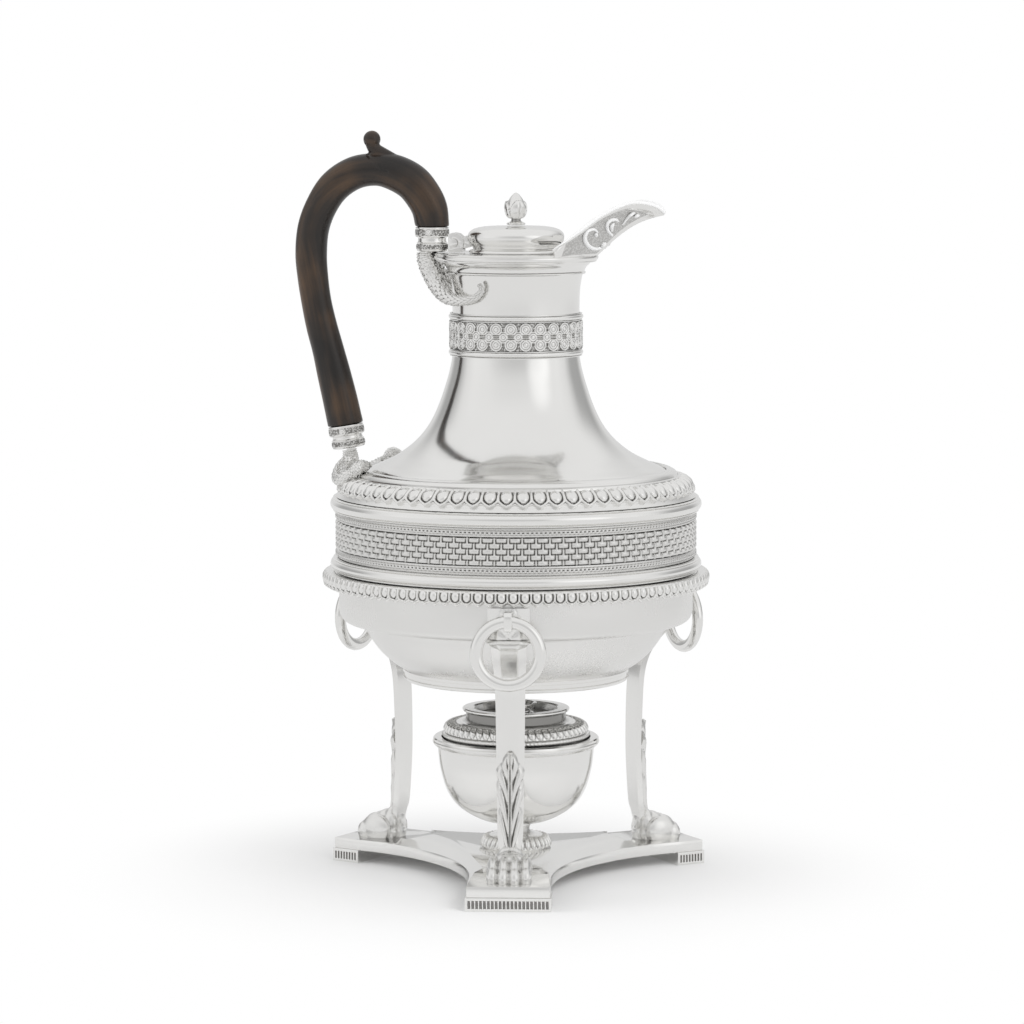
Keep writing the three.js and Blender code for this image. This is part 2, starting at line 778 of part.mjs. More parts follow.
// The outside of the shoulder from the scalloped lip in to the flared wall.
const [flareFootRadius, flareFootLevel] = flarePoint(FLARE[0], 0);
const SHOULDER = [
  [DRUM_RADIUS + 1.9, gadroonLevel],
  [DRUM_RADIUS - 0.2, gadroonLevel + 4.6],
  [DRUM_RADIUS - 5, gadroonLevel + 7.3],
  [DRUM_RADIUS - 6.5, gadroonLevel + 9.2],
  [flareFootRadius + 0.7, flareFootLevel + 0.5],
];

// The level of the shoulder's outside at a distance from the axis.
function shoulderLevel(radius) {
  const outline = [...SHOULDER, ...FLARE.map((share) => flarePoint(share, 0))];
  let i = outline.length - 2;
  while (i > 0 && outline[i][0] < radius) i--;
  const [[outer, low], [inner, high]] = [outline[i], outline[i + 1]];
  return low + ((high - low) * (outer - radius)) / (outer - inner);
}

function neckBand() {
  const inside = NECK_RADIUS + GAP;
  const high = NECK_BAND_LEVEL + NECK_BAND_HEIGHT;
  const bead = inside + 1.3;
  const field = inside + 0.9;
  return turned([
    [inside, NECK_BAND_LEVEL],
    [bead, NECK_BAND_LEVEL + 1],
    [field, NECK_BAND_LEVEL + 2.4],
    [field, high - 2.4],
    [bead, high - 1],
    [inside, high],
  ]);
}

// Mouth: a rounded border round the flared neck, and the flat top that the lid closes.
// A curved slot under the spout lets the jug pour.
function mouthRim() {
  const sleeve = MOUTH_RADIUS - 2;
  const ring = turned([
    [MOUTH_HOLE, MOUTH_LEVEL - 1.2],
    [sleeve, MOUTH_LEVEL - 1.2],
    [sleeve, MOUTH_LEVEL - 3.5],
    [MOUTH_RADIUS - 1.1, MOUTH_LEVEL - 3.5],
    [MOUTH_RADIUS, MOUTH_LEVEL - 2.3],
    [MOUTH_RADIUS, MOUTH_LEVEL - 0.9],
    [MOUTH_RADIUS - 0.8, MOUTH_LEVEL],
    [MOUTH_HOLE, MOUTH_LEVEL],
  ]);
  const near = MOUTH_HOLE + 3.3;
  const far = MOUTH_RADIUS - 4.6;
  const half = radians(SPOUT_HALF_ANGLE - 10);
  const slot = [];
  const steps = 7;
  for (let i = 0; i <= steps; i++) {
    const angle = half * (1 - (2 * i) / steps);
    slot.push([near * Math.cos(angle), near * Math.sin(angle)]);
  }
  for (let i = 0; i <= steps; i++) {
    const angle = half * ((2 * i) / steps - 1);
    slot.push([far * Math.cos(angle), far * Math.sin(angle)]);
  }
  return subtract(ring, [prism(slot.reverse(), MOUTH_LEVEL - 3, MOUTH_LEVEL + 2)]);
}

// Spout: an open scoop whose wall rises from the rim and narrows to a lip.
function spout() {
  const foot = MOUTH_LEVEL + GAP;
  const footRadius = MOUTH_RADIUS - 1;
  const start = radians(SPOUT_HALF_ANGLE);
  const run = SPOUT_REACH - footRadius * Math.cos(start);
  const half = footRadius * Math.sin(start);
  // The edge from the lip back to the rim, as shares of its run, half width and rise.
  const edge = new THREE.CatmullRomCurve3(
    [
      [1, 0, 1],
      [0.96, 0.12, 1.12],
      [0.88, 0.2, 1.2],
      [0.75, 0.31, 1.24],
      [0.6, 0.43, 1.15],
      [0.43, 0.62, 0.93],
      [0.27, 0.8, 0.62],
      [0.13, 0.92, 0.34],
      [0, 1, 0.1],
    ].map(([along, across, up]) => new THREE.Vector3(along * run, across * half, up * SPOUT_RISE)),
  );
  const point = (across, up) => {
    const share = Math.abs(across);
    const angle = start * across;
    const from = new THREE.Vector3(footRadius * Math.cos(angle), footRadius * Math.sin(angle), foot);
    const lip = edge.getPoint(share);
    lip.y *= Math.sign(across);
    lip.x += SPOUT_REACH - run;
    lip.z += foot;
    const bow = Math.sin(Math.PI * up);
    const swell = new THREE.Vector3(from.x, from.y, 0).setLength(0.4 * bow);
    swell.z = 3.6 * bow * (1 - share * share);
    return from.lerp(lip, up).add(swell);
  };
  const columns = 12;
  const rows = 4;
  const inward = (across, up) => {
    const step = 0.01;
    const a = point(Math.min(across + step, 1), up).sub(point(Math.max(across - step, -1), up));
    const b = point(across, Math.min(up + step, 1)).sub(point(across, Math.max(up - step, 0)));
    const normal = a.cross(b).normalize();
    return normal.x * point(across, up).x + normal.y * point(across, up).y > 0 ? normal.negate() : normal;
  };
  const sections = [];
  for (let c = 0; c <= columns; c++) {
    const across = (2 * c) / columns - 1;
    const outer = [];
    const inner = [];
    for (let r = 0; r <= rows; r++) {
      const up = r / rows;
      const at = point(across, up);
      outer.push(at);
      const level = new THREE.Vector3(-at.x, -at.y, 0).normalize();
      const normal = level.lerp(inward(across, up), up * (1 - across ** 4)).normalize();
      inner.push(at.clone().addScaledVector(normal, SPOUT_SHEET));
    }
    sections.push([...outer, ...inner.reverse()]);
  }
  return loft(sections);
}

// Handle

const upperSocket = { x: -(MOUTH_RADIUS + 1.3), z: MOUTH_LEVEL + GAP + UPPER_SOCKET_HEIGHT };
const lowerSocket = { x: -(DRUM_RADIUS - 0.6), z: gadroonLevel + 7.6 + LOWER_SOCKET_LIFT };

// The arch from the upper socket: shares of reach and rise, and of the handle's width.
const ARCH = [
  [0.02, 0.31, 1.12],
  [0.075, 0.55, 1.15],
  [0.17, 0.79, 1.16],
  [0.32, 0.955, 1.12],
  [0.47, 1, 1.02],
  [0.64, 0.935, 1.03],
  [0.8, 0.71, 1.03],
  [0.91, 0.37, 1],
  [0.98, -0.03, 1],
];

// The limb from the shoulder of the handle down to the lower socket, in the same way.
const LIMB = [
  [0, 0, 1],
  [0.05, 0.14, 0.97],
  [0.15, 0.28, 0.95],
  [0.3, 0.42, 0.98],
  [0.49, 0.56, 1],
  [0.66, 0.7, 1.06],
  [0.85, 0.86, 1.1],
];

function tilted(distance) {
  const lean = radians(LOWER_SOCKET_TILT);
  return { x: lowerSocket.x + distance * Math.sin(lean), z: lowerSocket.z - distance * Math.cos(lean) };
}

function woodHandle() {
  const path = [[upperSocket.x, upperSocket.z + GAP, 1.06]];
  for (const [along, up, wide] of ARCH) {
    path.push([upperSocket.x - along * HANDLE_REACH, upperSocket.z + up * HANDLE_ARCH, wide]);
  }
  const outer = { x: upperSocket.x - HANDLE_REACH, z: upperSocket.z - HANDLE_SHOULDER };
  const foot = tilted(-GAP);
  for (const [along, down, wide] of LIMB) {
    path.push([outer.x + along * (foot.x - outer.x), outer.z + down * (foot.z - outer.z), wide]);
  }
  path.push([foot.x, foot.z, 1.12]);
  const curve = new THREE.CatmullRomCurve3(path.map(([x, z]) => new THREE.Vector3(x, 0, z)));
  const sides = 8;
  const section = (x, z, alongX, alongZ, width, thickness) =>
    Array.from({ length: sides }, (_, i) => {
      const angle = (2 * Math.PI * i) / sides;
      const across = (width / 2) * Math.cos(angle);
      return new THREE.Vector3(
        x - alongZ * across,
        (thickness / 2) * Math.sin(angle),
        z + alongX * across,
      );
    });
  const sections = path.map(([x, z, wide], i) => {
    const tangent = curve.getTangent(i / (path.length - 1));
    if (i === 0) tangent.set(0, 0, 1);
    if (i === path.length - 1) tangent.set(tilted(1).x - tilted(0).x, 0, tilted(1).z - tilted(0).z);
    return section(x, z, tangent.x, tangent.z, wide * HANDLE_WIDTH, HANDLE_THICKNESS * (0.5 + 0.5 * wide));
  });
  const tenon = (top, alongX, alongZ) => {
    const end = [top.x + alongX * TENON_LENGTH, top.z + alongZ * TENON_LENGTH];
    const ends = [[top.x - alongX, top.z - alongZ], end];
    return loft(ends.map(([x, z]) => section(x, z, alongX, alongZ, 2 * TENON_RADIUS, 2 * TENON_RADIUS)));
  };
  const lean = radians(LOWER_SOCKET_TILT);
  const crown = { x: upperSocket.x - 0.47 * HANDLE_REACH, z: upperSocket.z + HANDLE_ARCH + 0.5 * HANDLE_WIDTH };
  const w = HANDLE_WIDTH;
  const scroll = limb(
    [
      [crown.x + 0.98 * w, 0, crown.z - 0.38 * w, 0.12 * w],
      [crown.x + 0.53 * w, 0, crown.z - 0.12 * w, 0.18 * w],
      [crown.x + 0.15 * w, 0, crown.z + 0.12 * w, 0.22 * w],
      [crown.x - 0.05 * w, 0, crown.z + 0.35 * w, 0.2 * w],
    ],
    4,
    6,
  );
  const ball = new THREE.SphereGeometry(0.285 * w, 8, 6).translate(crown.x - 0.05 * w, 0, crown.z + 0.42 * w);
  const whole = union([
    loft(sections),
    tenon(upperSocket, 0, -1),
    tenon(lowerSocket, Math.sin(lean), -Math.cos(lean)),
    scroll,
    ball,
  ]);
  return subtract(whole, [pinHole(upperPin()), pinHole(lowerPin())]);
}

function upperPin() {
  return { x: upperSocket.x, z: upperSocket.z - 1.9, reach: UPPER_SOCKET_RADIUS };
}

function lowerPin() {
  const { x, z } = tilted(2.3);
  return { x, z, reach: LOWER_SOCKET_RADIUS };
}

function pinHole({ x, z, reach }) {
  return rodAlongY(x, z, SOCKET_PIN_RADIUS + GAP, -reach - 2, reach + 2, 8);
}

function socketPin({ x, z, reach }) {
  const end = reach + GAP;
  return union([
    rodAlongY(x, z, SOCKET_PIN_RADIUS, -end - 0.5, end + 0.5, 8),
    rodAlongY(x, z, SOCKET_PIN_HEAD, -end - 0.9, -end, 8),
    rodAlongY(x, z, SOCKET_PIN_HEAD, end, end + 0.9, 8),
  ]);
}

// A socket cup: a wide band, a plain neck and a second band, with a pocket for the tenon.
function socketProfile(radius, length) {
  return [
    [0, -length],
    [radius - 1.5, -length],
    [radius - 0.5, -length + 0.6],
    [radius - 0.5, -length + 3.2],
    [radius - 1.2, -length + 3.8],
    [radius - 1.2, -4.3],
    [radius, -3.8],
    [radius, 0],
    [TENON_RADIUS + GAP, 0],
    [TENON_RADIUS + GAP, -TENON_LENGTH - GAP],
    [0, -TENON_LENGTH - GAP],
  ];
}

function socket({ x, z }, radius, length, lean, pin) {
  const cup = turned(socketProfile(radius, length), 12).rotateY(-radians(lean)).translate(x, 0, z);
  return subtract(cup, [pinHole(pin)]);
}

// Scaly tail of the upper socket: it runs down outside the rim and wraps round the neck.
function tail(side) {
  const r = TAIL_RADIUS;
  const wrapped = (degrees, drop, out, thick) => {
    const angle = radians(180 - degrees);
    const reach = NECK_RADIUS + out * r;
    return [reach * Math.cos(angle), side * reach * Math.sin(angle), MOUTH_LEVEL - drop * r, thick * r];
  };
  return limb(
    [
      [-(MOUTH_RADIUS + 1.23 * r), side * 1.13 * r, MOUTH_LEVEL - GAP, r],
      [-(MOUTH_RADIUS + 1.13 * r), side * 1.23 * r, MOUTH_LEVEL - r, r],
      [-(MOUTH_RADIUS + 0.43 * r), side * 1.67 * r, MOUTH_LEVEL - 2.67 * r, 0.97 * r],
      [-(MOUTH_RADIUS - 0.87 * r), side * 2.87 * r, MOUTH_LEVEL - 4.47 * r, 0.9 * r],
      wrapped(27, 5.67, 1.43, 0.8),
      wrapped(41, 6.2, 1.07, 0.7),
      wrapped(54, 6.2, 0.87, 0.53),
      wrapped(65, 5.8, 0.77, 0.4),
      wrapped(72, 4.73, 0.87, 0.27),
      wrapped(70, 3.87, 1.07, 0.17),
    ],
    14,
    6,
  );
}

// Serpent under the lower socket: it swings out along the shoulder and rests its head there.
function serpent(side) {
  const r = SERPENT_RADIUS;
  const neck = tilted(LOWER_SOCKET_LENGTH + GAP + 0.36 * r);
  const throat = tilted(LOWER_SOCKET_LENGTH + 1.9 * r);
  const over = (inward, spread, lift, thick) => {
    const x = inward * r - DRUM_RADIUS;
    const y = side * spread * SERPENT_SPREAD;
    return [x, y, shoulderLevel(Math.hypot(x, y)) + lift * r, thick * r];
  };
  return limb(
    [
      [neck.x, side * 1.32 * r, neck.z, 0.8 * r],
      [throat.x - 0.12 * r, side * 1.76 * r, throat.z, 0.95 * r],
      over(0.4, 0.32, 2.5, 1),
      over(0.6, 0.6, 2.2, 1),
      over(1.68, 0.86, 1.66, 0.96),
      over(3.4, 1, 1.56, 1),
      over(5.2, 1.01, 1.68, 1.16),
      over(7, 0.95, 0.94, 0.52),
    ],
    15,
    6,
  );
}

// Hinge

function arc(x, z, radius, from, to, steps) {
  return Array.from({ length: steps + 1 }, (_, i) => {
    const angle = radians(from + ((to - from) * i) / steps);
    return [x + radius * Math.cos(angle), z + radius * Math.sin(angle)];
  });
}

function hingeBracket() {
  const x = -HINGE_OFFSET;
  const back = upperSocket.x + UPPER_SOCKET_RADIUS + GAP;
  const foot = MOUTH_LEVEL + GAP;
  const front = x + 3.6;
  const outline = [
    [back, foot],
    [front, foot],
    ...arc(x, hingeLevel, CHEEK_RADIUS, -25, 125, 5),
    [back, hingeLevel + 2.4],
  ];
  const offset = KNUCKLE_WIDTH / 2 + RUNNING + CHEEK_THICKNESS / 2;
  const hole = [[x, hingeLevel, HINGE_PIN_RADIUS + RUNNING]];
  const bridge = new THREE.BoxGeometry(front - back, 2 * offset, 1.1);
  bridge.translate((front + back) / 2, 0, foot + 0.55);
  return union([
    slab(outline, -offset, CHEEK_THICKNESS, hole),
    slab(outline, offset, CHEEK_THICKNESS, hole),
    bridge,
  ]);
}

function hingePin() {
  const end = KNUCKLE_WIDTH / 2 + RUNNING + CHEEK_THICKNESS + GAP;
  return union([
    rodAlongY(-HINGE_OFFSET, hingeLevel, HINGE_PIN_RADIUS, -end - 0.4, end + 0.4, 10),
    rodAlongY(-HINGE_OFFSET, hingeLevel, HINGE_PIN_RADIUS + 0.7, -end - 0.8, -end, 12),
    rodAlongY(-HINGE_OFFSET, hingeLevel, HINGE_PIN_RADIUS + 0.7, end, end + 0.8, 12),
  ]);
}

// Lid

function lid() {
  const foot = MOUTH_LEVEL + GAP;
  const rise = LID_RISE - GAP;
  const outer = (share, radius) => [radius, foot + share * rise];
  const bezel = MOUTH_HOLE - 1.1;
  return turned(
    [
      [0, foot + rise],
      outer(0.975, LID_RADIUS - 7),
      outer(0.9, LID_RADIUS - 2.8),
      outer(0.76, LID_RADIUS - 0.6),
      outer(0.58, LID_RADIUS),
      outer(0.15, LID_RADIUS - 2.6),
      outer(0.06, LID_RADIUS - 0.4),
      outer(0, LID_RADIUS - 0.4),
      [bezel, foot],
      [bezel, foot - 3.4],
      [bezel - 1, foot - 3.4],
      [bezel - 1, foot + 0.3 * rise],
      [LID_RADIUS - LID_SHEET, foot + 0.58 * rise],
      [LID_RADIUS - 3.6, foot + rise - 2.2],
      [0, foot + rise - LID_SHEET],
    ],
    SMALL_SIDES,
  );
}

// Arm of the lid: a knuckle on the pin and a short scroll that lies against the lid's side.
function lidArm() {
  const x = -HINGE_OFFSET;
  const foot = MOUTH_LEVEL + GAP;
  const rise = LID_RISE - GAP;
  const outline = [
    ...arc(x, hingeLevel, KNUCKLE_RADIUS, 75, 285, 7),
    [-(LID_RADIUS + 1.2), foot + 1.5],
    [-(LID_RADIUS - 1.5), foot + 0.2 * rise],
    [-(LID_RADIUS - 0.05), foot + 0.45 * rise],
    [-(LID_RADIUS + 0.6), foot + 0.62 * rise],
    [-(LID_RADIUS + 2.4), hingeLevel + 1.9],
  ];
  return slab(outline, 0, KNUCKLE_WIDTH, [[x, hingeLevel, HINGE_PIN_RADIUS + RUNNING]]);
}

// Bud finial on a disc, its stud passing through the lid to a nut.
function finial() {
  const foot = MOUTH_LEVEL + LID_RISE + GAP;
  return turned(
    [
      [0, foot],
      [0.9 * FINIAL_RADIUS, foot],
      [0.9 * FINIAL_RADIUS, foot + 0.9],
      [0.45 * FINIAL_RADIUS, foot + 1.8],
      [0.6 * FINIAL_RADIUS, foot + 0.2 * FINIAL_HEIGHT],
      [0.97 * FINIAL_RADIUS, foot + 0.42 * FINIAL_HEIGHT],
      [FINIAL_RADIUS, foot + 0.56 * FINIAL_HEIGHT],
      [0.85 * FINIAL_RADIUS, foot + 0.76 * FINIAL_HEIGHT],
      [0.5 * FINIAL_RADIUS, foot + 0.94 * FINIAL_HEIGHT],
      [0, foot + FINIAL_HEIGHT],
    ],
    10,
  );
}

function finialNut() {
  const top = MOUTH_LEVEL + LID_RISE - LID_SHEET - 1.7 * GAP;
  return new THREE.CylinderGeometry(3, 3, 1.8, 6).rotateX(Math.PI / 2).translate(0, 0, top - 0.9);
}

// Lamp

const lampFoot = panelLevel + GAP;
const lampBowlFoot = lampFoot + LAMP_STEM_HEIGHT;
const lampRimLevel = lampBowlFoot + LAMP_BOWL_HEIGHT;

function lampStem() {
  const top = lampBowlFoot - GAP;
  return turned(
    [
      [0, lampFoot],
      [LAMP_FOOT_RADIUS, lampFoot],
      [LAMP_FOOT_RADIUS, lampFoot + 1.4],
      [LAMP_FOOT_RADIUS - 1.8, lampFoot + 2.6],
      [LAMP_FOOT_RADIUS - 1.4, lampFoot + 4.4],
      [LAMP_FOOT_RADIUS - 2.4, lampFoot + 6.4],
      [LAMP_FOOT_RADIUS - 4.6, lampFoot + 8],
      [LAMP_STEM_RADIUS + 0.6, lampFoot + 9],
      [LAMP_STEM_RADIUS, top - 2],
      [LAMP_STEM_RADIUS + 0.7, top],
      [0, top],
    ],
    18,
  );
}

function lampBowl() {
  const low = lampBowlFoot;
  const high = lampRimLevel;
  const outer = (wide, up) => [wide * LAMP_BOWL_RADIUS, low + up * LAMP_BOWL_HEIGHT];
  const inner = (wide, up) => [wide * LAMP_BOWL_RADIUS - LAMP_SHEET, low + up * LAMP_BOWL_HEIGHT + LAMP_SHEET * (1 - up)];
  return turned(
    [
      [0, low],
      outer(0.32, 0.02),
      outer(0.56, 0.1),
      outer(0.76, 0.22),
      outer(0.89, 0.39),
      outer(0.97, 0.64),
      [LAMP_BOWL_RADIUS, high - 4],
      [LAMP_BOWL_RADIUS + LAMP_RIM, high - 2.2],
      [LAMP_BOWL_RADIUS + LAMP_RIM, high - 0.4],
      [LAMP_BOWL_RADIUS + LAMP_RIM - 1.2, high],
      [LAMP_BOWL_RADIUS - LAMP_SHEET, high],
      inner(0.97, 0.64),
      inner(0.87, 0.38),
      inner(0.66, 0.18),
      inner(0.32, 0.03),
      [0, low + LAMP_SHEET],
    ],
    SMALL_SIDES,
  );
}

// Cover of the lamp: a gadrooned shoulder, a collar, and a dish round the wick tube.
function lampCover() {
  const low = lampRimLevel + GAP;
  const high = low + COVER_RISE;
  const outside = LAMP_BOWL_RADIUS - 1.7;
  const neck = COVER_NECK_RADIUS;
  const bore = WICK_TUBE_RADIUS + GAP;
  return turned(
    [
      [outside, low],
      [outside, low + 1.2],
      [outside - 1.5, low + 3.2],
      [outside - 4, low + 4.8],
      [neck + 3, low + 5.5],
      [neck, low + 6.3],
      [neck, high - 1.4],
      [neck + 1.5, high - 1.1],
      [neck + 1.5, high],
      [neck - 3.6, high],
      [neck - 4.2, high - 3],
      [bore, high - 3.6],
      [bore, high - 4.8],
      [neck - 1.3, high - 4.4],
      [neck - 1.3, low + 5],
      [outside - 4.6, low + 3.4],
      [outside - 1.6, low],
    ],
    SMALL_SIDES,
  );
}

const dishLevel = lampRimLevel + GAP + COVER_RISE - 3.3;

function wickHolder() {
  const bore = WICK_RADIUS + GAP;
  const flange = dishLevel + GAP;
  return turned(
    [
      [bore, dishLevel - 7],
      [WICK_TUBE_RADIUS, dishLevel - 7],
      [WICK_TUBE_RADIUS, flange],
      [WICK_TUBE_RADIUS + 1.6, flange],
      [WICK_TUBE_RADIUS + 1.6, flange + 0.9],
      [WICK_TUBE_RADIUS, flange + 1.5],
      [WICK_TUBE_RADIUS + 2.8, flange + 4.6],
      [WICK_TUBE_RADIUS + 1.8, flange + 4.9],
      [bore, flange + 2.2],
    ],
    12,
  );
}

function wick() {
  const low = lampBowlFoot + 8;
  const high = dishLevel + 2.4;
  return new THREE.CylinderGeometry(WICK_RADIUS, WICK_RADIUS, high - low, 12)
    .rotateX(Math.PI / 2)
    .translate(0, 0, (low + high) / 2);
}

// The assembly

place(pot, "base_plate", basePlate());
place(pot, "stand_bowl", standBowl());
place(pot, "stand_rim", standRim());
place(pot, "stand_collar", standCollar());

for (let number = 1; number <= LEG_COUNT; number++) {
  const arm = new THREE.Group();
  arm.rotation.z = radians(FRONT_LEG_ANGLE + (360 / LEG_COUNT) * (number - 1));
  pot.add(arm);
  place(arm, `foot_${number}`, blockFoot());
  place(arm, `paw_${number}`, paw());
  place(arm, `leg_${number}`, leg());
  place(arm, `leaf_${number}`, leaf());
  place(arm, `ring_clip_${number}`, ringClip());
  place(arm, `ring_${number}`, legRing());
}

place(pot, "jug_body", jugBody());
place(pot, "jug_drum", jugDrum());
place(pot, "shoulder_gadroon", shoulderGadroon());
place(pot, "drum_upper_moulding", roundMoulding(upperMouldingLevel, DRUM_MOULDING_HEIGHT));
place(pot, "basket_frieze", basketFrieze());
place(pot, "drum_lower_moulding", roundMoulding(lowerMouldingLevel, LOWER_MOULDING_HEIGHT));
place(pot, "neck_band", neckBand());
place(pot, "mouth_rim", mouthRim());
place(pot, "spout", spout());
place(pot, "wood_handle", woodHandle(), darkWood);
place(pot, "upper_socket", socket(upperSocket, UPPER_SOCKET_RADIUS, UPPER_SOCKET_HEIGHT, 0, upperPin()));
place(pot, "lower_socket", socket(lowerSocket, LOWER_SOCKET_RADIUS, LOWER_SOCKET_LENGTH, LOWER_SOCKET_TILT, lowerPin()));
place(pot, "upper_socket_pin", socketPin(upperPin()));
place(pot, "lower_socket_pin", socketPin(lowerPin()));
place(pot, "tail_near", tail(-1));
place(pot, "tail_far", tail(1));
place(pot, "serpent_near", serpent(-1));
place(pot, "serpent_far", serpent(1));
place(pot, "hinge_bracket", hingeBracket());
place(pot, "hinge_pin", hingePin());

place(pot, "lid", lid());
place(pot, "lid_arm", lidArm());
place(pot, "finial", finial());
place(pot, "finial_nut", finialNut());

place(pot, "lamp_stem", lampStem());
place(pot, "lamp_bowl", lampBowl());
place(pot, "lamp_cover", lampCover());
place(pot, "wick_holder", wickHolder());
place(pot, "wick", wick(), cotton);

// The origin is the middle of the part's footprint, on the surface it stands on.
const extent = new THREE.Box3().setFromObject(pot);
const middle = extent.getCenter(new THREE.Vector3());
pot.position.set(-middle.x, -middle.y, 0);

export default pot;
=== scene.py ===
# %% [markdown]
# # A silver coffee jug on its lamp stand
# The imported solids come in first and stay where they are, as a fixed frame. Each cell after that makes one piece
# of the real jug round them: where a solid is only a plain body for a carved or cast piece, the finer piece takes
# its place. Sizes are written in millimetres from the jug's own axis, because that is how a silversmith sets out
# work that is turned, raised and chased round a centre.

# %% Load the frame
import math

import bpy
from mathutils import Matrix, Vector


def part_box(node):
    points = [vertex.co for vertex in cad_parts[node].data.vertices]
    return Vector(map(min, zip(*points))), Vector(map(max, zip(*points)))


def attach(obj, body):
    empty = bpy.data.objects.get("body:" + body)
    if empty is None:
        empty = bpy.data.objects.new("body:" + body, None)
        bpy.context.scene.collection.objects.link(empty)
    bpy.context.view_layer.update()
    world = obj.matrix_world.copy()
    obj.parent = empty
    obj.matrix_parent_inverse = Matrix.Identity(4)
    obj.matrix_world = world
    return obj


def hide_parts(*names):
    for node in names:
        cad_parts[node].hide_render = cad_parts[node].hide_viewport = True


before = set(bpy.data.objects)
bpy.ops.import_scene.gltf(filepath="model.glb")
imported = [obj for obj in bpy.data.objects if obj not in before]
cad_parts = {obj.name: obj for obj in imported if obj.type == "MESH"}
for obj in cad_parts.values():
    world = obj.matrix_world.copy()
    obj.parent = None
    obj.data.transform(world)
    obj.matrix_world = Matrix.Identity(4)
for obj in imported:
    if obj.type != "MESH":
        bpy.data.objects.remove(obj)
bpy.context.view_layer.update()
drum_low, drum_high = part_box("jug_drum")
AXIS = Vector(((drum_low.x + drum_high.x) / 2, (drum_low.y + drum_high.y) / 2, 0))
print("the jug's axis stands at", [round(c * 1000, 2) for c in AXIS])

# %% [markdown]
# The camera is made first. The picture was taken from far away with a long lens, a little above the jug and
# 11 degrees round from straight on, so the spout points slightly away. A long lens keeps the upright lines upright.

# %% Camera
AIM_HEIGHT, AIM_ASIDE = 0.152, 0.00165
DISTANCE = 1.68
LENS = 142.4
TURN = math.radians(11)
DOWN = math.radians(5.9)

towards_camera = Vector((math.sin(TURN) * math.cos(DOWN), -math.cos(TURN) * math.cos(DOWN), math.sin(DOWN)))
right = Vector((math.cos(TURN), math.sin(TURN), 0))
aim = AXIS + Vector((0, 0, AIM_HEIGHT)) - right * AIM_ASIDE
bpy.ops.object.camera_add(location=aim + towards_camera * DISTANCE)
camera = bpy.context.object
camera.rotation_mode = "QUATERNION"
camera.rotation_quaternion = (-towards_camera).to_track_quat("-Z", "Y")
camera.data.sensor_width = 36
camera.data.lens = LENS
bpy.context.scene.camera = camera
bpy.context.scene.view_settings.view_transform = "Standard"
print("camera at", [round(c, 3) for c in camera.location])

# %% [markdown]
# ## Ways of working
# An operator acts on everything that is selected, so each piece starts with a clear selection. `at` turns a
# place in millimetres from the jug's axis into a place in the scene. `reach` reads a solid's radius and its two
# levels, so the dressed pieces follow the frame when its sizes change.

# %% Places and selection
MM = 0.001
SILVER, WOOD, COTTON = "silver", "dark_wood", "cotton"


def at(x, y, z):
    return Vector((AXIS.x + x * MM, AXIS.y + y * MM, z * MM))


def polar(radius, angle, z):
    return at(radius * math.cos(angle), radius * math.sin(angle), z)


def reach(node):
    low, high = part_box(node)
    return (high.x - low.x) / 2 / MM, low.z / MM, high.z / MM


def deselect():
    bpy.ops.object.select_all(action="DESELECT")


def activate(piece):
    deselect()
    piece.select_set(True)
    bpy.context.view_layer.objects.active = piece


def edit(select="SELECT"):
    bpy.ops.object.mode_set(mode="EDIT")
    bpy.ops.mesh.select_mode(type="VERT")
    bpy.ops.mesh.select_all(action=select)


def leave():
    bpy.ops.object.mode_set(mode="OBJECT")


def mix(a, b, share):
    return a + (b - a) * share


def smoothed(points, steps=6):
    """A smooth line through a few measured points, as a bent spline would lie."""
    line = []
    for i in range(len(points) - 1):
        before, start, end, after = (Vector(points[max(0, min(len(points) - 1, i + k))]) for k in (-1, 0, 1, 2))
        for step in range(steps):
            t = step / steps
            line.append(0.5 * (2 * start + (end - before) * t + (2 * before - 5 * start + 4 * end - after) * t * t
                               + (3 * start - before - 3 * end + after) * t ** 3))
    return [*line, Vector(points[-1])]


print("places are measured from the axis, in millimetres")

# %% [markdown]
# Silver of this kind is mostly turned: a profile goes once round the axis. By hand that is one point, drawn out
# into a profile with extrude, and then spun. The spin can turn the shape inside out, so its seam is merged first
# and the normals are worked out again.

# %% Turned pieces


def draw(points):
    """One point, extruded from place to place."""
    deselect()
    bpy.ops.mesh.primitive_plane_add(size=MM, location=points[0])
    bpy.ops.object.transform_apply(location=True)
    edit()
    bpy.ops.mesh.merge(type="CENTER")
    for start, end in zip(points, points[1:]):
        bpy.ops.mesh.extrude_region_move(TRANSFORM_OT_translate={"value": end - start})
    return bpy.context.object


def tidy_surface():
    """Merges what lies on one spot and turns every face outwards. It leaves edit mode."""
    bpy.ops.mesh.select_all(action="SELECT")
    bpy.ops.mesh.remove_doubles(threshold=0.004 * MM)
    bpy.ops.mesh.normals_make_consistent(inside=False)
    leave()


def turned(profile, steps, angle, centre=(0, 0)):
    """A profile of radius and level, spun round an upright line."""
    middle = at(*centre, 0)
    piece = draw([middle + Vector((point[0] * MM, 0, point[1] * MM)) for point in profile])
    bpy.ops.mesh.select_all(action="SELECT")
    bpy.ops.mesh.spin(steps=steps, angle=2 * math.pi, center=middle, axis=(0, 0, 1))
    tidy_surface()
    bpy.ops.object.shade_smooth_by_angle(angle=math.radians(angle))
    return piece


def sphere(spot, radius, segments, rings):
    deselect()
    bpy.ops.mesh.primitive_uv_sphere_add(segments=segments, ring_count=rings, radius=radius * MM, location=spot)
    bpy.ops.object.transform_apply(location=True)
    return bpy.context.object


def from_level(base, *points):
    """Places of a profile, each as its radius and its height above one level."""
    return [(radius, base + up) for radius, up in points]


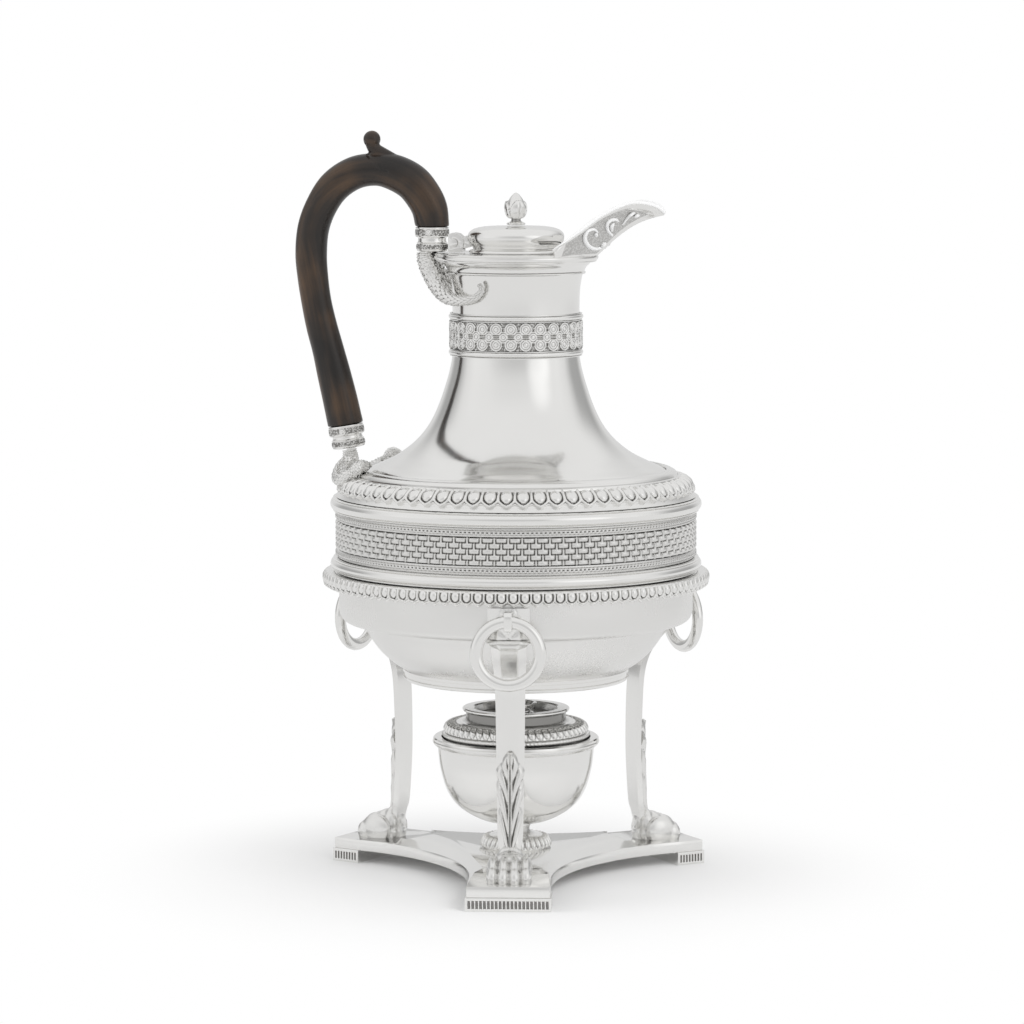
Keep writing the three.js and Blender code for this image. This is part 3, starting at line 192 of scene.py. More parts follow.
# %% [markdown]
# Chased and cast borders repeat one small unit many times round the jug. The unit is a grid whose corners are
# pushed up and down like sheet metal over a punch. It is spun round the axis as copies, the copies are joined,
# and the open edges are bridged behind, which closes the border into one solid band.

# %% Borders of repeated units
BEHIND_GROUND = 0.8


def shaped_grid(columns, rows, place):
    """A grid of faces whose corners are each moved to place(u, v), with u and v from 0 to 1."""
    deselect()
    bpy.ops.mesh.primitive_grid_add(x_subdivisions=columns, y_subdivisions=rows, size=1, location=(0.5, 0.5, 0))
    piece = bpy.context.object
    bpy.ops.object.transform_apply(location=True)
    for corner in piece.data.vertices:
        corner.co = place(round(corner.co.x * columns) / columns, round(corner.co.y * rows) / rows)
    return piece


def repeated(count):
    """Copies all that is selected evenly round the jug's axis."""
    bpy.ops.mesh.spin(
        dupli=True, steps=count - 1, angle=2 * math.pi * (count - 1) / count, center=at(0, 0, 0), axis=(0, 0, 1)
    )


def border(count, columns, rows, shape, angle=60):
    """A band of count units. shape(u, v) gives the radius, the level and, if it leans, the slide in units. The first
    and the last row go inwards, so that the back of the band lies behind its ground."""

    def place(u, v):
        radius, level, *slide = shape(u, v)
        return polar(radius - (BEHIND_GROUND if v in (0, 1) else 0), 2 * math.pi * (u + sum(slide)) / count, level)

    piece = shaped_grid(columns, rows, place)
    edit()
    repeated(count)
    bpy.ops.mesh.select_all(action="SELECT")
    bpy.ops.mesh.remove_doubles(threshold=0.004 * MM)
    bpy.ops.mesh.select_mode(type="EDGE")
    bpy.ops.mesh.select_all(action="DESELECT")
    bpy.ops.mesh.select_non_manifold(extend=False, use_boundary=True, use_wire=False, use_multi_face=False,
                                     use_non_contiguous=False, use_verts=False)
    bpy.ops.mesh.bridge_edge_loops()
    bpy.ops.mesh.select_mode(type="VERT")
    tidy_surface()
    bpy.ops.object.shade_smooth_by_angle(angle=math.radians(angle))
    return piece


def bump(x):
    """A round rise from 0 at -1 and 1 to 1 in the middle."""
    return math.sqrt(max(0.0, 1 - x * x))


def ridge(x, middle, half):
    """A narrow round rise of that half width about a middle."""
    return bump((x - middle) / half) if abs(x - middle) < half else 0.0


# %% [markdown]
# Tubes that bend, such as the wood handle and the serpents, are the same grid, wrapped round a line. The side
# that faces away from the jug's axis is kept as the top of every section, so nothing twists on the way.

# %% Tubes along a line


def tube(line, radii, columns, flat=1.0, relief=None, outwards=None):
    """A closed tube along a line of places in millimetres. relief(u, v) adds to the radius."""
    count = len(line)
    tangents = [(line[min(i + 1, count - 1)] - line[max(i - 1, 0)]).normalized() for i in range(count)]

    def place(u, v):
        i = round(v * (count + 1)) - 1
        end = i < 0 or i >= count
        i = max(0, min(count - 1, i))
        spine, tangent = line[i], tangents[i]
        away = outwards or Vector((spine.x, spine.y, 0))
        top = (away - tangent * away.dot(tangent)).normalized()
        side = tangent.cross(top)
        radius = 0 if end else radii[i] + (relief(u, i / (count - 1)) if relief else 0)
        angle = 2 * math.pi * u
        spot = spine + top * (radius * math.cos(angle)) + side * (radius * flat * math.sin(angle))
        return at(*spot)

    piece = shaped_grid(columns, count + 1, place)
    edit()
    tidy_surface()
    bpy.ops.object.shade_smooth_by_angle(angle=math.radians(50))
    return piece


def rod(line, columns, **more):
    """A tube along places that carry their own radius as a fourth number."""
    return tube([point.to_3d() for point in line], [point.w for point in line], columns, **more)


# %% [markdown]
# A finished piece is named, rides on its body, stands for the solid it dresses and takes one finish. These few
# words are the same for every piece, so they are one call, which also prints the piece's count of faces.

# %% Finishing a piece
pieces = []


def modify(kind, **settings):
    """Adds a modifier to the active piece and applies it."""
    piece = bpy.context.object
    modifier = piece.modifiers.new(kind.title(), kind)
    for name, value in settings.items():
        setattr(modifier, name, value)
    bpy.ops.object.modifier_apply(modifier=modifier.name)


def hand_in(piece, name, body, finish, *stands_for, slot=SILVER):
    piece.name = piece.data.name = name
    if not piece.data.materials:
        piece.data.materials.append(finish)
    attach(piece, body)
    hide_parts(*stands_for)
    pieces.append(piece)
    print(f"{name}: {len(piece.data.polygons)} faces")


# %% [markdown]
# ## Finishes
# Shader sums are easier to read as Python than as chains of nodes. A `Wire` is a value on its way between two
# nodes, and adding or multiplying it adds the Math node that does so.

# %% A value on a wire


class Wire:
    """A number that travels between shader nodes. Sums on it add Math nodes."""

    def __init__(self, tree, socket):
        self.tree = tree
        self.socket = socket

    def sum(self, operation, first, second):
        node = self.tree.nodes.new("ShaderNodeMath")
        node.operation = operation
        for socket, value in zip(node.inputs, (first, second)):
            if isinstance(value, Wire):
                self.tree.links.new(value.socket, socket)
            else:
                socket.default_value = value
        return Wire(self.tree, node.outputs[0])

    def __add__(self, other):
        return self.sum("ADD", self, other)

    def __radd__(self, other):
        return self.sum("ADD", other, self)

    def __sub__(self, other):
        return self.sum("SUBTRACT", self, other)

    def __rsub__(self, other):
        return self.sum("SUBTRACT", other, self)

    def __mul__(self, other):
        return self.sum("MULTIPLY", self, other)


class Bench:
    """A tree of shader nodes while it is being put together."""

    def __init__(self, owner):
        owner.use_nodes = True
        self.tree = owner.node_tree

    def add(self, kind, settings=None, output=0, **values):
        """Adds a node. Its settings come first, then the values or wires of its sockets."""
        node = self.tree.nodes.new("ShaderNode" + kind)
        for name, value in (settings or {}).items():
            if name == "stops":
                ramp = node.color_ramp.elements
                while len(ramp) < len(value):
                    ramp.new(0.5)
                for stop, (position, colour) in zip(ramp, value):
                    stop.position = position
                    stop.color = (*colour, 1)
            else:
                setattr(node, name, value)
        for name, value in values.items():
            socket = next(s for s in node.inputs if name in (s.identifier, s.name.replace(" ", "_")))
            if isinstance(value, Wire):
                self.tree.links.new(value.socket, socket)
            else:
                socket.default_value = value
        return Wire(self.tree, node.outputs[output])

    def rise(self, value, start, end, top=1.0, kind="LINEAR"):
        """Goes from 0 to top while the value goes from start to end."""
        settings = {"interpolation_type": kind}
        return self.add("MapRange", settings, Value=value, From_Min=start, From_Max=end, To_Max=top)

    def end(self, kind, shader):
        """Clears away the old output and ends the tree in a new one."""
        for node in [node for node in self.tree.nodes if node.bl_idname == "ShaderNodeOutput" + kind]:
            self.tree.nodes.remove(node)
        self.tree.links.new(shader.socket, self.tree.nodes.new("ShaderNodeOutput" + kind).inputs[0])


class Recipe(Bench):
    """A finish while it is being mixed."""

    def __init__(self, name, **constants):
        self.material = bpy.data.materials.new(name)
        super().__init__(self.material)
        self.shader = self.tree.nodes["Principled BSDF"]
        for socket, value in constants.items():
            self.shader.inputs[socket.replace("_", " ")].default_value = value

    def feed(self, socket, wire):
        self.tree.links.new(wire.socket, self.shader.inputs[socket])

    def place(self, stretch=(1, 1, 1)):
        """Object coordinates measured from the jug's axis, stretched along the three axes."""
        shift = self.add("Mapping", Vector=self.add("TexCoord", output=3), Location=[-c for c in AXIS])
        return self.add("Mapping", Vector=shift, Scale=stretch)

    def noise(self, scale, detail, stretch=(1, 1, 1)):
        return self.add("TexNoise", Vector=self.place(stretch), Scale=scale, Detail=detail)

    def blend(self, share, first, second):
        """A colour between two colours."""
        node = self.tree.nodes.new("ShaderNodeMix")
        node.data_type = "RGBA"
        self.tree.links.new(share.socket, node.inputs["Factor"])
        for socket, colour in zip((node.inputs[6], node.inputs[7]), (first, second)):
            if isinstance(colour, Wire):
                self.tree.links.new(colour.socket, socket)
            else:
                socket.default_value = (*colour, 1)
        return Wire(self.tree, node.outputs[2])

    def relief(self, height, strength, depth):
        self.feed("Normal", self.add("Bump", Strength=strength, Distance=depth * MM, Height=height))


# %% [markdown]
# Old polished silver is never a perfect mirror. Two centuries of polishing leave a web of fine hairlines and broad
# cloudy patches where the shine is a little softer. The colour hardly changes, so the roughness carries it. In
# chased work the cloth never reaches the bottom, so the hollows stay darker: pointiness finds them on a fine mesh.

# %% Silver, plain and chased


def silver(name, roughness, hollows, colour=(0.90, 0.895, 0.88), dots=0.0, lines=0.02):
    """hollows is how dark the recesses get; dots is how deep a pointed punch has stippled the surface."""
    recipe = Recipe(name, Metallic=1.0)
    clouds = recipe.noise(38, 3)
    hairlines = recipe.noise(900, 2, (1, 1, 0.06))
    hairlines_across = recipe.noise(1100, 2, (0.07, 0.07, 1))
    recipe.feed("Roughness", roughness * 0.72 + clouds * (0.5 * roughness) + hairlines * 0.05)
    worn = recipe.blend(clouds, colour, tuple(c * 0.955 for c in colour))
    if hollows:
        point = recipe.add("NewGeometry", output=7)
        worn = recipe.blend(recipe.rise(point, 0.492, 0.44, hollows), worn, (0.17, 0.165, 0.155))
    texture = hairlines * 0.15 + hairlines_across * 0.6
    if dots:
        punch = recipe.add("TexVoronoi", Vector=recipe.place(), Scale=1350.0)
        pit = recipe.rise(punch, 0.3, 0.62, dots)
        worn = recipe.blend(pit, worn, (0.15, 0.145, 0.135))
        texture = texture * 0.2 - pit
    recipe.feed("Base Color", worn)
    recipe.relief(texture, 0.9 if dots else 0.12, 0.16 if dots else lines)
    return recipe.material


POLISHED = silver("polished_silver", 0.11, 0.0)
CHASED = silver("chased_silver", 0.17, 0.85)
CAST = silver("cast_silver", 0.22, 0.75, (0.86, 0.855, 0.84))
# The woven frieze takes a darker copy of the silver: painted shade for its deep weave.
WOVEN = silver("woven_silver", 0.26, 0.95, (0.80, 0.795, 0.78))
GROUND = silver("stippled_silver", 0.34, 0.5, (0.80, 0.795, 0.78), dots=0.85)
MATTED = silver("matted_silver", 0.36, 0.6, (0.74, 0.735, 0.72), dots=0.3)
BRUSHED = silver("brushed_silver", 0.27, 0.0, (0.86, 0.855, 0.84), lines=0.006)
# A dark silver for the floors of the foot slots: painted shade inside the narrow slots.
SLOT_SHADE = silver("tarnished_silver", 0.45, 0.0, (0.34, 0.33, 0.32))

# %% [markdown]
# The handle is a dark fruit wood, stained almost black and rubbed brown where the hand has held it. Its grain runs
# along the bend, so the grain is measured as the distance from the middle of the arch: noise that changes quickly
# with this distance and slowly along the wood gives the streaks. A thin coat stands for old wax polish.

# %% Dark wood and cotton
handle_low, handle_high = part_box("wood_handle")
ARCH_MIDDLE = ((handle_low.x + handle_high.x) / 2 - AXIS.x, handle_high.z - 45 * MM)


def dark_wood():
    recipe = Recipe("stained_dark_wood", Coat_Roughness=0.14, Specular_IOR_Level=0.28)
    x, y, z = (recipe.add("SeparateXYZ", output=i, Vector=recipe.place()) for i in range(3))
    up = z - ARCH_MIDDLE[1]
    across = x - ARCH_MIDDLE[0] + up.sum("MINIMUM", up, 0.0) * 0.2
    height = up.sum("MAXIMUM", up, 0.0)
    from_middle = recipe.add("CombineXYZ", X=across, Y=height)
    bend = recipe.add("VectorMath", {"operation": "LENGTH"}, output=1, Vector=from_middle)
    along_grain = recipe.add("CombineXYZ", X=bend, Y=y * 0.8, Z=z * 0.07 + x * 0.07)
    streaks = recipe.add("TexNoise", Vector=along_grain, Scale=340.0, Detail=4.0)
    pores = recipe.add("TexNoise", Vector=along_grain, Scale=2300.0, Detail=2.0)
    patches = recipe.noise(42, 2)
    stain = recipe.add("ValToRGB", {"stops": [
        (0.38, (0.011, 0.009, 0.008)), (0.50, (0.026, 0.019, 0.015)), (0.66, (0.085, 0.050, 0.028)),
    ]}, Fac=patches * 0.62 + streaks * 0.38)
    recipe.feed("Base Color", recipe.blend(pores * 0.3, stain, (0.008, 0.007, 0.006)))
    recipe.feed("Roughness", 0.27 + streaks * 0.12)
    recipe.feed("Coat Weight", 0.42 - patches * 0.3)
    recipe.relief(streaks * 0.5 + pores * 0.2, 0.12, 0.05)
    return recipe.material


def cotton():
    recipe = Recipe("plaited_cotton", Sheen_Weight=0.25)
    strands = recipe.add("TexWave", {"bands_direction": "DIAGONAL"}, Vector=recipe.place(), Scale=520.0, Distortion=2.0)
    fluff = recipe.noise(1500, 3)
    recipe.feed("Base Color", recipe.blend(strands * 0.6 + fluff * 0.4, (0.50, 0.45, 0.36), (0.78, 0.74, 0.64)))
    recipe.feed("Roughness", 0.85 + fluff * 0.1)
    recipe.relief(strands + fluff * 0.3, 0.8, 0.25)
    return recipe.material


DARK_WOOD = dark_wood()
WICK_COTTON = cotton()
print("finishes:", [m.name for m in bpy.data.materials])

# %% [markdown]
# ## The stand
# The base plate is cut from thick sheet: three straight arms joined by hollow curves. Between the arms the top is
# sunk, with a sloping brink. The outline is drawn once outside and once at the brink, the two are bridged, and the
# inner loop is inset and pushed down, as a chaser would sink it.

# %% Base plate
LEG_ANGLES = [math.radians(-81.3 + 120 * i) for i in range(3)]
ARM_HALF = 16.7
WAIST = 33.2
_, foot_low, foot_high = reach("foot_1")
_, plate_low, plate_high = reach("base_plate")
PLATE_REACH = 80.6


def plate_outline(arm, straight, inset, level, steps=20):
    outline = []
    for leg in LEG_ANGLES:
        along, across = Vector((math.cos(leg), math.sin(leg))), Vector((-math.sin(leg), math.cos(leg)))
        half = ARM_HALF - inset
        outline += [along * arm - across * half, along * arm + across * half]
        middle = leg + math.pi / 3
        out, side = Vector((math.cos(middle), math.sin(middle))), Vector((-math.sin(middle), math.cos(middle)))
        start = along * straight + across * half
        waist = WAIST - inset
        bow, reach_across = start.dot(out) - waist, abs(start.dot(side))
        radius = (bow * bow + reach_across ** 2) / (2 * bow)
        swing = math.asin(reach_across / radius)
        for i in range(steps + 1):
            turn = swing * (1 - 2 * i / steps)
            outline.append(out * (waist + radius * (1 - math.cos(turn))) - side * (radius * math.sin(turn)))
    return [at(point.x, point.y, level) for point in outline]


def closed_line(places):
    """One outline of edges that runs back to its start."""
    piece = draw([*places, places[0]])
    tidy_surface()
    return piece


def join(first, *others):
    """Joins pieces to the first one, which stays active."""
    deselect()
    for piece in (first, *others):
        piece.select_set(True)
    bpy.context.view_layer.objects.active = first
    bpy.ops.object.join()
    return first


def pick(kind, test):
    """Selects the faces, edges or points of the active piece whose middle and direction pass a test."""
    leave()
    edit("DESELECT")
    bpy.ops.mesh.select_mode(type=kind)
    leave()
    mesh = bpy.context.object.data
    if kind == "FACE":
        for face in mesh.polygons:
            face.select = test(face.center, face.normal)
    elif kind == "EDGE":
        for edge in mesh.edges:
            start, end = (mesh.vertices[i].co for i in edge.vertices)
            edge.select = test((start + end) / 2, (end - start).normalized())
    else:
        for corner in mesh.vertices:
            corner.select = test(corner.co, corner.normal)
    bpy.ops.object.mode_set(mode="EDIT")


brink = plate_outline(51, 50.6, 1.8, plate_high)
inner_places = {tuple(round(c, 6) for c in place) for place in brink}
plate = join(closed_line(plate_outline(PLATE_REACH, PLATE_REACH - 12.5, 0, plate_high)), closed_line(brink))
edit()
bpy.ops.mesh.bridge_edge_loops()
pick("VERT", lambda place, _: tuple(round(c, 6) for c in place) in inner_places)
bpy.ops.mesh.edge_face_add()
bpy.ops.mesh.inset(thickness=3.4 * MM, depth=-1.7 * MM)
bpy.ops.mesh.select_mode(type="EDGE")
bpy.ops.mesh.select_all(action="DESELECT")
bpy.ops.mesh.select_non_manifold(use_wire=False, use_multi_face=False, use_non_contiguous=False, use_verts=False)
bpy.ops.mesh.extrude_region_move(TRANSFORM_OT_translate={"value": (0, 0, (plate_low - plate_high) * MM)})
bpy.ops.mesh.edge_face_add()
bpy.ops.mesh.select_mode(type="VERT")
tidy_surface()
modify("BEVEL", width=0.35 * MM, segments=2, limit_method="ANGLE", angle_limit=math.radians(50))
bpy.ops.object.shade_smooth_by_angle(angle=math.radians(30))
hand_in(plate, "plate", "stand", POLISHED, "base_plate")

# %% [markdown]
# Each leg piece is made once, pointing along X from the jug's axis, and copied round to the three arms. Turning a
# copy is a rotate in edit mode about that axis, so that the finished object stays at the origin.

# %% Copies on the three legs


def on_each_leg(piece, name, node, finish, bodies=("stand", "stand", "stand")):
    for number, (angle, body) in enumerate(zip(LEG_ANGLES, bodies), 1):
        activate(piece)
        bpy.ops.object.duplicate()
        edit()
        bpy.ops.transform.rotate(value=-angle, orient_axis="Z", center_override=AXIS)
        leave()
        hand_in(bpy.context.object, f"{name}_{number}", body, finish, f"{node}_{number}")
    bpy.data.objects.remove(piece)


def lofted(sections, angle=40):
    """A closed skin over sections with equal numbers of places, in millimetres."""
    count, rows = len(sections[0]), len(sections)
    first, last = (sum(section, Vector((0, 0, 0))) / count for section in (sections[0], sections[-1]))

    def place(u, v):
        row = round(v * (rows + 1)) - 1
        if row < 0 or row == rows:
            return at(*(first if row < 0 else last))
        return at(*sections[row][round(u * count) % count])

    piece = shaped_grid(count, rows + 1, place)
    edit()
    tidy_surface()
    bpy.ops.object.shade_smooth_by_angle(angle=math.radians(angle))
    return piece


# %% [markdown]
# A block foot sits under each arm. Its outer face and its two short faces are cut with a row of upright slots
# between two plain strips. A box gets an inset on those faces, the inset panel is divided into strips, and each
# strip is inset again and pushed in.

# %% Block feet
FOOT_OUT, FOOT_IN, FOOT_HALF = 81.2, 68.3, 17.3
FOOT_STRIP = 0.85


def slots(count, sideways, panel_test):
    """Divides a panel into upright strips and sinks each one."""
    pick("FACE", panel_test)
    bpy.ops.mesh.inset(thickness=FOOT_STRIP * MM, depth=0)
    leave()
    panel = next(face for face in foot.data.polygons if face.select)
    normal, middle = panel.normal.copy(), panel.center.copy()

    def on_panel(place):
        return abs((place - middle).dot(normal)) < 0.01 * MM

    width = max(abs((foot.data.vertices[i].co - middle).dot(sideways)) for i in panel.vertices)
    pick("EDGE", lambda spot, way: on_panel(spot) and abs(way.z) < 0.1 and abs((spot - middle).dot(sideways)) < 0.1 * MM
         and abs(abs(spot.z - middle.z) * 2 - panel_height) < 0.05 * MM)
    bpy.ops.mesh.subdivide(number_cuts=count - 1)
    pick("FACE", lambda spot, way: way.dot(normal) > 0.99 and on_panel(spot) and abs(spot.z - middle.z) < 0.1 * MM
         and abs((spot - middle).dot(sideways)) < width)
    bpy.ops.mesh.inset(thickness=0.3 * MM, depth=0, use_individual=True)
    bpy.ops.mesh.inset(thickness=0.16 * MM, depth=-0.62 * MM, use_individual=True)


panel_height = (foot_high - foot_low - 2 * FOOT_STRIP) * MM
foot_middle = at((FOOT_OUT + FOOT_IN) / 2, 0, (foot_low + foot_high) / 2)
deselect()
bpy.ops.mesh.primitive_cube_add(size=MM, location=foot_middle)
foot = bpy.context.object
bpy.ops.object.transform_apply(location=True)
edit()
foot_size = (FOOT_OUT - FOOT_IN, 2 * FOOT_HALF, foot_high - foot_low)
bpy.ops.transform.resize(value=foot_size, center_override=foot_middle)
slots(21, Vector((0, 1, 0)), lambda _, way: way.x > 0.9)
slots(8, Vector((1, 0, 0)), lambda _, way: way.y > 0.9)
slots(8, Vector((1, 0, 0)), lambda _, way: way.y < -0.9)
leave()
modify("BEVEL", width=0.12 * MM, segments=1, limit_method="ANGLE", angle_limit=math.radians(50))
bpy.ops.object.shade_smooth_by_angle(angle=math.radians(30))
for corner in foot.data.vertices:
    spot = corner.co - AXIS
    corner.co.x = AXIS.x + max(FOOT_IN * MM, min(FOOT_OUT * MM, spot.x))
    corner.co.y = AXIS.y + max(-FOOT_HALF * MM, min(FOOT_HALF * MM, spot.y))
    corner.co.z = max(foot_low * MM, corner.co.z)
foot.data.materials.append(CHASED)
foot.data.materials.append(SLOT_SHADE)
# Faces sunk 0.4 to 1.2 mm into the slots take the dark silver, which paints the shade inside the slots.
for face in foot.data.polygons:
    spot = (face.center - AXIS) / MM
    sunk = min(FOOT_OUT - spot.x, FOOT_HALF - abs(spot.y))
    face.material_index = 1 if 0.4 < sunk < 1.2 and foot_low + 0.9 < spot.z < foot_high - 0.9 else 0
on_each_leg(foot, "block_foot", "foot", CHASED)

# %% [markdown]
# A leg starts as a flat panel against the bowl. Its face is chased with a fan of foliage. Below a ledge the shaft
# leans in and then drops to the paw, with bevelled edges all the way. The whole is lofted over sections along a
# line, because no section repeats and the bevel has to follow the bend.

# %% Legs
RIM_OUT, RIM_LOW, RIM_HIGH = reach("stand_rim")
LEG_TOP = RIM_LOW - 0.3
PANEL_OUT = reach("stand_bowl")[0] + 1.9
PANEL_FOOT = LEG_TOP - 14.2
LEG_OUT = 57.0
PANEL_WIDTH, CARVE_DEPTH, SHAFT_THICK = 16.8, 0.62, 3.6
SHAFT_FOOT = plate_high + 15.8
SHAFT = [
    (0.99, 0.02, 0.42, 14.0), (0.77, 0.07, 52, 13.8), (0.52, 0.12, 56, 13.3), (0.3, 0.175, 50, 12.8),
    (0.13, 0.25, 34, 12.3), (0.04, 0.35, 12, 11.9), (0, 0.52, 2, 11.6), (-0.01, 0.72, -2, 11.1),
    (0.02, 0.88, -6, 10.7), (0.06, 1, -8, 10.2), (0.11, 1.05, -12, 8.6), (0.16, 1.11, -14, 7.0),
]
shaft_line = smoothed([
    (LEG_OUT + out * (PANEL_OUT - LEG_OUT), PANEL_FOOT - down * (PANEL_FOOT - SHAFT_FOOT), lean, width)
    for out, down, lean, width in SHAFT
], 5)


def foliage(across, up):
    """A fan of leaves that spreads from the foot of the panel, and a small one above it."""
    height = 0.0
    for foot, size in ((0.02, 0.62), (0.5, 0.5)):
        spot = Vector((across, (up - foot) * 0.85))
        length = spot.length / size
        if spot.y > -0.02 and length < 1:
            fan = abs(math.cos(4.5 * math.atan2(spot.x, spot.y)))
            height = max(height, (0.35 + 0.65 * fan) * bump(length * 2 - 1))
    return height


def leg_section(out, level, lean, width, thickness, carve=0.0, up=0.0):
    """Front of the leg from side to side, then its flat back."""
    lean = math.radians(lean)
    bevel = 0.27 * width
    places = []
    for i in range(29):
        share = -0.5 + i / 28
        across = share * width
        edge = (abs(across) - bevel) / (0.5 * width - bevel)
        depth = 0.5 - 0.45 * max(0.0, edge)
        depth += carve * foliage(2 * share, up) / thickness if edge <= 0.35 else 0
        places.append((depth * thickness, across))
    places += [(-0.5 * thickness, share * width) for share in (0.42, 0.14, -0.14, -0.42)]
    return [Vector((out + d * math.cos(lean), y, level - d * math.sin(lean))) for d, y in places]


sections = []
for i in range(33):
    up = 1 - i / 32
    level = mix(PANEL_FOOT + 1.5, LEG_TOP, up)
    sections.append(leg_section(PANEL_OUT - 0.25, level, 0, PANEL_WIDTH, 2.7, CARVE_DEPTH, up))
LEDGE = [(0.0, 0.2, 1.45), (0.75, 0.6, 1.25), (1.0, 0.8, 0.9), (1.0, 0.8, 0.35), (0.7, 0.5, 0.0), (0.0, -1.6, -0.4)]
for extra, wider, level in LEDGE:
    sections.append(leg_section(PANEL_OUT + extra / 2, PANEL_FOOT + level, 0, PANEL_WIDTH + wider, 3.2 + extra))
sections += [leg_section(*station, SHAFT_THICK) for station in shaft_line]
leg = lofted(sections, 35)
on_each_leg(leg, "leg_carved", "leg", CHASED)

# %% [markdown]
# The acanthus leaf lies on the shaft, and its tip curls away. Its leaflets slant up and out from a double rib.
# The same sections make the outline and the relief: where a groove between two leaflets reaches the edge, the edge
# dips in too, as it does in a cast leaf.

# %% Acanthus leaves
LEAF_FOOT = SHAFT_FOOT - 5.2
LEAF_LENGTH, LEAF_HALF = 41.5, 5.8
LEAF_LINE = smoothed([
    (0, 0, 0.45, 2.4, -8), (0, 0.12, 0.60, 2.9, -4), (0, 0.3, 0.80, 3.2, 0), (0, 0.48, 0.88, 3.2, 2),
    (0.2, 0.62, 0.93, 3.0, 4), (0.5, 0.75, 1.0, 2.7, 10), (1.2, 0.84, 0.80, 2.2, 20), (2.3, 0.92, 0.46, 1.7, 42),
    (3.6, 0.97, 0.2, 1.1, 70),
], 8)


def shaft_front(level):
    half = SHAFT_THICK / 2
    front = [(out + half * math.cos(math.radians(lean)), low - half * math.sin(math.radians(lean)))
             for out, low, lean, _ in shaft_line]
    above = [i for i, (_, height) in enumerate(front) if height >= level]
    i = min(max(above, default=0), len(front) - 2)
    (first, top), (second, low) = front[i], front[i + 1]
    return mix(first, second, min(1.0, (top - level) / (top - low)))


sections = []
for i, (out, up, wide, thick, turn) in enumerate(LEAF_LINE):
    share = i / (len(LEAF_LINE) - 1)
    level = LEAF_FOOT + up * LEAF_LENGTH
    back, turn, half = shaft_front(level) - 0.4 + out, math.radians(turn), wide * LEAF_HALF
    section = []
    for k in range(29):
        u = -1 + 2 * k / 28
        groove = abs(math.sin(math.pi * (share * 4.6 - abs(u) * 1.7))) ** 0.6
        depth = thick * (0.40 + 0.52 * groove * (1 - 0.3 * abs(u)))
        depth = max(depth, thick * (0.66 + 0.46 * ridge(abs(u), 0.11, 0.12))) if abs(u) < 0.24 else depth
        depth *= 0.25 + 0.75 * bump(u) ** 0.5 if abs(u) > 0.9 else 1
        across = u * half * (0.80 + 0.26 * groove * abs(u) ** 3)
        wrapped = back - 1.7 * u ** 4
        section.append(Vector((wrapped + depth * math.cos(turn), across, level - depth * math.sin(turn))))
    section += [Vector((back - 1.5 * abs(side), half * 0.8 * side, level)) for side in (0.9, 0.3, -0.3, -0.9)]
    sections.append(section)
leaf = lofted(sections, 50)
on_each_leg(leaf, "acanthus", "leaf", CAST)

# %% [markdown]
# The lion's paw is modelled the way it would be in wax: an ankle, an instep and a sole, then for each toe a long
# lump and a round tip, all pressed together. Joined spheres are remeshed into one skin and smoothed a little. The
# fur on the ankle is combed into that skin by moving its points in and out.

# %% Lion's paws
PAW_LENGTH, PAW_WIDTH, PAW_HEIGHT = 24.0, 18.0, 15.5
FUR_DEPTH = 0.15
HEEL = LEG_OUT - 0.16 * PAW_LENGTH


def lump(out, side, up, length, width, height):
    """One pressed lump of the paw. Places and half sizes are shares of its length, width and height."""
    spot = at(HEEL + out * PAW_LENGTH, side * PAW_WIDTH, plate_high + up * PAW_HEIGHT)
    piece = sphere(spot, 1, 28, 16)
    edit()
    size = (length * PAW_LENGTH, width * PAW_WIDTH, height * PAW_HEIGHT)
    bpy.ops.transform.resize(value=size, center_override=spot)
    leave()
    return piece


ANKLE, HEEL_PAD = (0.33, 0, 0.40, 0.17, 0.34, 0.46), (0.32, 0, 0.12, 0.17, 0.35, 0.32)
INSTEP, SOLE = (0.47, 0, 0.32, 0.24, 0.40, 0.42), (0.54, 0, 0.0, 0.36, 0.45, 0.24)
lumps = [lump(*part) for part in (ANKLE, HEEL_PAD, INSTEP, SOLE)]
for side, pulled in ((-0.37, 0.08), (-0.125, 0), (0.125, 0), (0.37, 0.08)):
    lumps.append(lump(0.62 - pulled, side, 0.24, 0.29, 0.15, 0.40))
    lumps.append(lump(0.86 - pulled, side * 1.02, 0.14, 0.14, 0.132, 0.27))
paw = join(*lumps)
modify("REMESH", mode="VOXEL", voxel_size=0.4 * MM)
modify("SMOOTH", factor=0.5, iterations=3)
for corner in paw.data.vertices:
    spot = (corner.co - at(HEEL + 0.2 * PAW_LENGTH, 0, 0)) / MM
    up = (spot.z - plate_high) / PAW_HEIGHT
    turn = math.atan2(spot.y, spot.x)
    comb = max(0.0, min(1.0, (up - 0.55) * 6)) * max(0.0, min(1.0, (0.5 * PAW_LENGTH - spot.x) / 4))
    lock = abs(math.sin(5.5 * turn + 1.2 * math.sin(up * 14))) ** 0.6
    corner.co -= corner.normal * (FUR_DEPTH * comb * (1 - lock)) * MM
    corner.co.z = max(corner.co.z, (plate_high - 0.4) * MM)
bpy.ops.object.shade_smooth()
on_each_leg(paw, "lion_paw", "paw", CAST)

# %% [markdown]
# Some solids are already right, but their edges are knife sharp, and a real edge always catches a thin line of
# light. Such a piece is a copy of its solid, merged into one skin, with its edges rounded off by a bevel.

# %% Solids with eased edges


